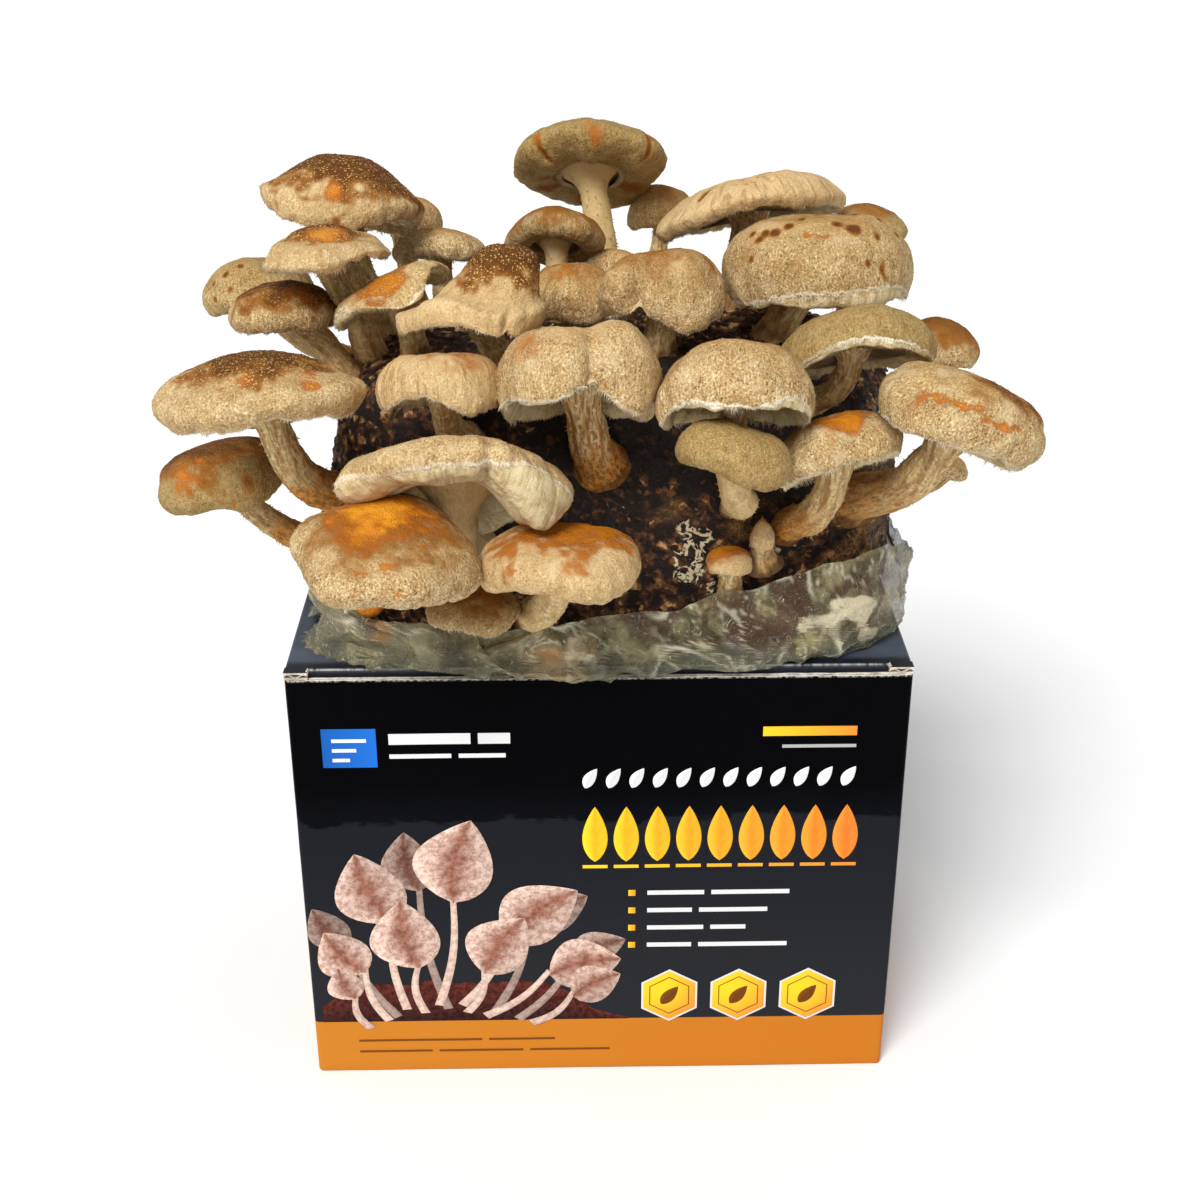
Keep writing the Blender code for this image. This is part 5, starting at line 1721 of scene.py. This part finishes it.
class Print:
    """Flat areas of ink, laid over each other on the carton's front."""

    def __init__(self):
        self.piece = Piece()
        self.face = box_of("carton_body")[0][1]

    def area(self, x, z, ink, layer, grainy=0.0, closed=False):
        x, z = np.broadcast_arrays(x, z)
        points = np.stack([x, np.full(x.shape, self.face), z], axis=-1).reshape(-1, 3)
        points[:, 1] -= board_wave(points) + PRINT_LIFT + PRINT_LAYER * layer
        faces = grid_faces(*x.shape, closed=closed)
        corners = points[faces.reshape(-1, 4)]
        turned = np.cross(corners[:, 1] - corners[:, 0], corners[:, 3] - corners[:, 0])[:, 1].sum()
        if turned > 0:
            faces = faces[..., ::-1]
        ink = np.broadcast_to(ink, (*x.shape, 3)).reshape(-1, 3)
        self.piece.add(points, faces, ink=ink, grainy=np.full(len(points), grainy))

    def bar(self, start, end, z, height, first, second, layer=1):
        way = np.linspace(0, 1, max(3, int((end - start) / 5)))
        across = np.linspace(1, -1, 3)[:, None]
        x = start + (end - start) * way
        ink = first + (second - first) * way[:, None]
        self.area(x, z + across * height / 2, ink, layer)

    def leaf(self, x, z, length, width, turn, edge, middle, layer, grainy=0.0, bend=0.12):
        way = np.linspace(0, 1, 17)
        across = np.linspace(-1, 1, 9)[:, None]
        half = width / 2 * np.sin(pi * way ** 0.8) ** 0.85
        along = length * way + 0 * across
        aside = across * half + bend * length * np.sin(pi * way)
        share = np.clip(np.abs(across) * 1.6, 0, 1)[..., None] * np.ones((1, len(way), 1))
        veins = 0.35 * (np.sin(30 * (way - 0.25 * np.abs(across))) > 0.5)[..., None] * (1 - share * 0.4)
        lit = (1.0 + 0.18 * across)[..., None] * np.ones((1, len(way), 1))
        ink = (middle + (edge - middle) * np.clip(share - veins, 0, 1)) * lit
        angle = radians(turn)
        self.area(x + along * cos(angle) - aside * sin(angle), z + along * sin(angle) + aside * cos(angle),
                  ink, layer, grainy)

    def disc(self, x, z, radius, first, second, layer, sides=0, inner=0.0, tilt=0.0):
        turn = np.linspace(0, 2 * pi, 72, endpoint=False)
        share = np.linspace(max(inner, 0.01), 1, 4)[:, None]
        reach = radius * np.ones(len(turn))
        if sides:
            part = 2 * pi / sides
            reach = radius * cos(part / 2) / np.cos((turn + part / 2) % part - part / 2)
        ink = first + (second - first) * (0.5 + 0.5 * np.cos(turn - tilt))[None, :, None] * share[..., None]
        away = share * reach
        self.area(x + away * np.cos(turn), z + away * np.sin(turn), ink, layer, closed=True)

    def stalk(self, x, z, x_end, z_end, width, ink, layer, bend=0.0, grainy=0.0):
        way = np.linspace(0, 1, 15)
        across = np.linspace(-0.5, 0.5, 3)[:, None]
        run = np.array([x_end - x, z_end - z])
        aside = np.array([-run[1], run[0]]) / np.linalg.norm(run)
        thick = width * (1.35 - 0.5 * way)
        sway = bend * np.sin(pi * way) + across * thick
        shade = np.array([0.72, 1.0, 0.86])[:, None, None]
        self.area(x + run[0] * way + aside[0] * sway, z + run[1] * way + aside[1] * sway,
                  ink * shade * np.ones((1, 15, 1)), layer, grainy)


# Broad leaves of the printed plant: foot on the mound, tip of the stalk, length, width,
# direction, how light it is
PLANT = (
    (-66, 40, -76, 98, 30, 22, 100, 0.5),
    (-46, 38, -30, 78, 30, 22, 34, 0.5),
    (-88, 36, -108, 70, 24, 18, 125, 0.5),
    (-36, 34, -12, 60, 26, 18, 28, 0.55),
    (-92, 34, -101, 56, 27, 24, 128, 1.0),
    (-84, 40, -88, 82, 38, 30, 112, 1.0),
    (-70, 42, -62, 92, 42, 34, 78, 1.0),
    (-60, 42, -40, 72, 40, 30, 40, 1.0),
    (-50, 36, -22, 54, 32, 26, 14, 1.0),
    (-76, 38, -78, 58, 36, 30, 100, 1.0),
    (-58, 38, -50, 55, 34, 28, 58, 1.0),
    (-30, 32, -12, 42, 24, 20, 30, 0.9),
    (-100, 30, -106, 42, 18, 16, 112, 0.9),
)


def print_picture(ink):
    """A pale broad-leaved plant on a dark mound."""
    x = np.linspace(-121, 12, 60)
    mound = np.column_stack((x, 0 * x, 0 * x))
    hill = 20 * smoothstep(14, -30, x) * smoothstep(-150, -90, x)
    top = BAND_TOP + hill + 2.4 * layered_noise(mound, 9, 4)
    way = np.linspace(0, 1, 7)[:, None]
    ink.area(x[None], np.maximum(top, BAND_TOP) * (1 - way) + BAND_TOP * way,
             (EARTH * (1 - way[..., None]) + UMBER * way[..., None]) * np.ones((1, 60, 1)), 1, grainy=1.0)
    for number, (foot_x, foot_z, x_tip, z_tip, length, width, turn, light) in enumerate(PLANT):
        layer = 2 + number * 0.35
        bend = 3.0 if turn > 90 else -3.0
        ink.stalk(foot_x, foot_z - 6, x_tip, z_tip, 3.0, BLUSH * light, layer, bend, 0.5)
        edge = BLUSH * light * (1.0 - 0.06 * (number % 3))
        ink.leaf(x_tip, z_tip - 2, length, width, turn, edge, CLAY * light * 0.85, layer + 0.15, 0.7, 0.08)


def print_rosettes(ink):
    """Gold hexagons with a pale border, each with a thin ring and a single leaf."""
    for x in (30.0, 60.0, 90.0):
        z = 40.0
        ink.disc(x, z, 14.0, WHITE * 0.8, WHITE * 0.8, 6, sides=6)
        ink.disc(x, z, 13.0, GOLD, AMBER, 7, sides=6, tilt=-0.8)
        ink.disc(x, z, 10.0, SEPIA, SEPIA, 8, inner=0.95, sides=6)
        ink.leaf(x - 3.6, z - 4.6, 12.0, 5.6, 52, SEPIA, SEPIA * 0.8, 8, 0.0, 0.0)


def print_frieze(ink):
    """A white row of small leaves above a row of tall gold ones."""
    for number in range(12):
        ink.leaf(-6 + number * 9.6, 146.0, 10.5, 5.0, 62, WHITE, WHITE * 0.82, 1, 0.0, 0.05)
    for number in range(9):
        share = number / 8
        gold = GOLD + (AMBER - GOLD) * share
        x = -2 + number * 13.0
        ink.leaf(x, 110.0, 27.0, 10.5, 90, gold, gold * np.array([0.86, 0.72, 0.6]), 1, 0.0, 0.0)
        ink.bar(x - 5.2, x + 5.2, 107.6, 1.6, gold, gold)


def print_marks(ink):
    """A plain blue tile, rows of plain bars, and thin lines in the orange foot."""
    ink.bar(-112, -90, 166, 18.0, BLUE, BLUE * 1.5)
    for z, share in ((169.5, 1.0), (165.0, 0.7), (160.5, 0.5)):
        ink.bar(-108, -108 + 14 * share, z, 1.6, WHITE, WHITE, 2)
    for start, end, z, height in ((-85, -52, 170, 5.0), (-49, -36, 170, 5.0),
                                  (-85, -60, 162, 2.0), (-57, -38, 162, 2.0)):
        ink.bar(start, end, z, height, WHITE * 0.95, WHITE)
    ink.bar(66, 104, 172, 4.4, GOLD, AMBER)
    ink.bar(74, 104, 165, 1.5, WHITE * 0.5, WHITE * 0.5)
    for row, z in enumerate((94.0, 85.0, 76.0, 67.0)):
        ink.bar(12, 15, z, 3.0, GOLD, AMBER)
        gap = 44 - 5 * (row % 2)
        for start, end in ((20, gap), (gap + 3, 80 - 9 * (row % 3))):
            ink.bar(start, end, z, 2.2, WHITE * 0.85, WHITE * 0.85)
    for start, end, z in ((-106, -52, 17.0), (-49, -20, 17.0), (-106, -74, 11.0),
                          (-71, -34, 11.0), (-31, 4, 11.0)):
        ink.bar(start, end, z, 1.1, SEPIA, SEPIA)


def build_print():
    ink = Print()
    print_picture(ink)
    print_rosettes(ink)
    print_frieze(ink)
    print_marks(ink)
    made = ink.piece.build("carton_print", (ink_look(),))
    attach(made, "root")


def build_carton():
    paper = paper_look("cut_paper", paint(226, 220, 208), paint(176, 164, 148))
    kraft = paper_look("kraft_paper", paint(150, 112, 82), paint(84, 54, 40))
    build_carton_body(carton_look(), paper, kraft)
    build_carton_lid(paper, kraft)
    build_print()


# Stage

FLOOR_REACH = 6000.0
FLOOR_DROP = 0.2
KEY_STRENGTH = 3.1
KEY_SPREAD = 28
KEY_FROM = (-0.35, -0.75, 0.95)
WORLD_STRENGTH = 0.46


def floor_look():
    graph = Graph("floor")
    soft = graph.noise(graph.place(), 400.0, 1.0)
    colour = graph.mix(soft, (0.90, 0.90, 0.90), (0.92, 0.92, 0.92))
    return graph.set(base_color=colour, roughness=0.9, specular_ior_level=0.1)


def build_floor():
    piece = Piece()
    around = ((-1, -1), (1, -1), (1, 1), (-1, 1))
    corners = np.array([(x * FLOOR_REACH, y * FLOOR_REACH, -FLOOR_DROP) for x, y in around])
    piece.add(corners, np.array([[0, 1, 2, 3]]))
    floor = piece.build("floor", (floor_look(),))


def add_lights():
    """A broad soft sun from the front left, with an even white studio round it."""
    data = bpy.data.lights.new("key", "SUN")
    data.energy = KEY_STRENGTH
    data.angle = radians(KEY_SPREAD)
    light = bpy.data.objects.new("key", data)
    light.rotation_euler = Vector(KEY_FROM).to_track_quat("Z", "Y").to_euler()
    bpy.context.scene.collection.objects.link(light)
    world = bpy.data.worlds.new("studio")
    world.use_nodes = True
    background = world.node_tree.nodes["Background"]
    background.inputs["Color"].default_value = (1.0, 1.0, 1.0, 1.0)
    background.inputs["Strength"].default_value = WORLD_STRENGTH
    bpy.context.scene.world = world
    bpy.context.scene.view_settings.view_transform = "Standard"


def add_camera():
    data = bpy.data.cameras.new("camera")
    data.lens = CAMERA_LENS
    data.sensor_width = SENSOR_WIDTH
    camera = bpy.data.objects.new("camera", data)
    turn = Matrix.Rotation(radians(-CAMERA_TO_RIGHT), 4, "Z")
    tilt = Matrix.Rotation(radians(90 - CAMERA_DOWN), 4, "X")
    roll = Matrix.Rotation(radians(CAMERA_ROLL), 4, "Z")
    camera.matrix_world = Matrix.Translation(Vector(CAMERA_PLACE) * MM) @ turn @ tilt @ roll
    bpy.context.scene.collection.objects.link(camera)
    bpy.context.scene.camera = camera


add_camera()
build_mushrooms()
build_block()
build_bag()
build_carton()
build_floor()
add_lights()
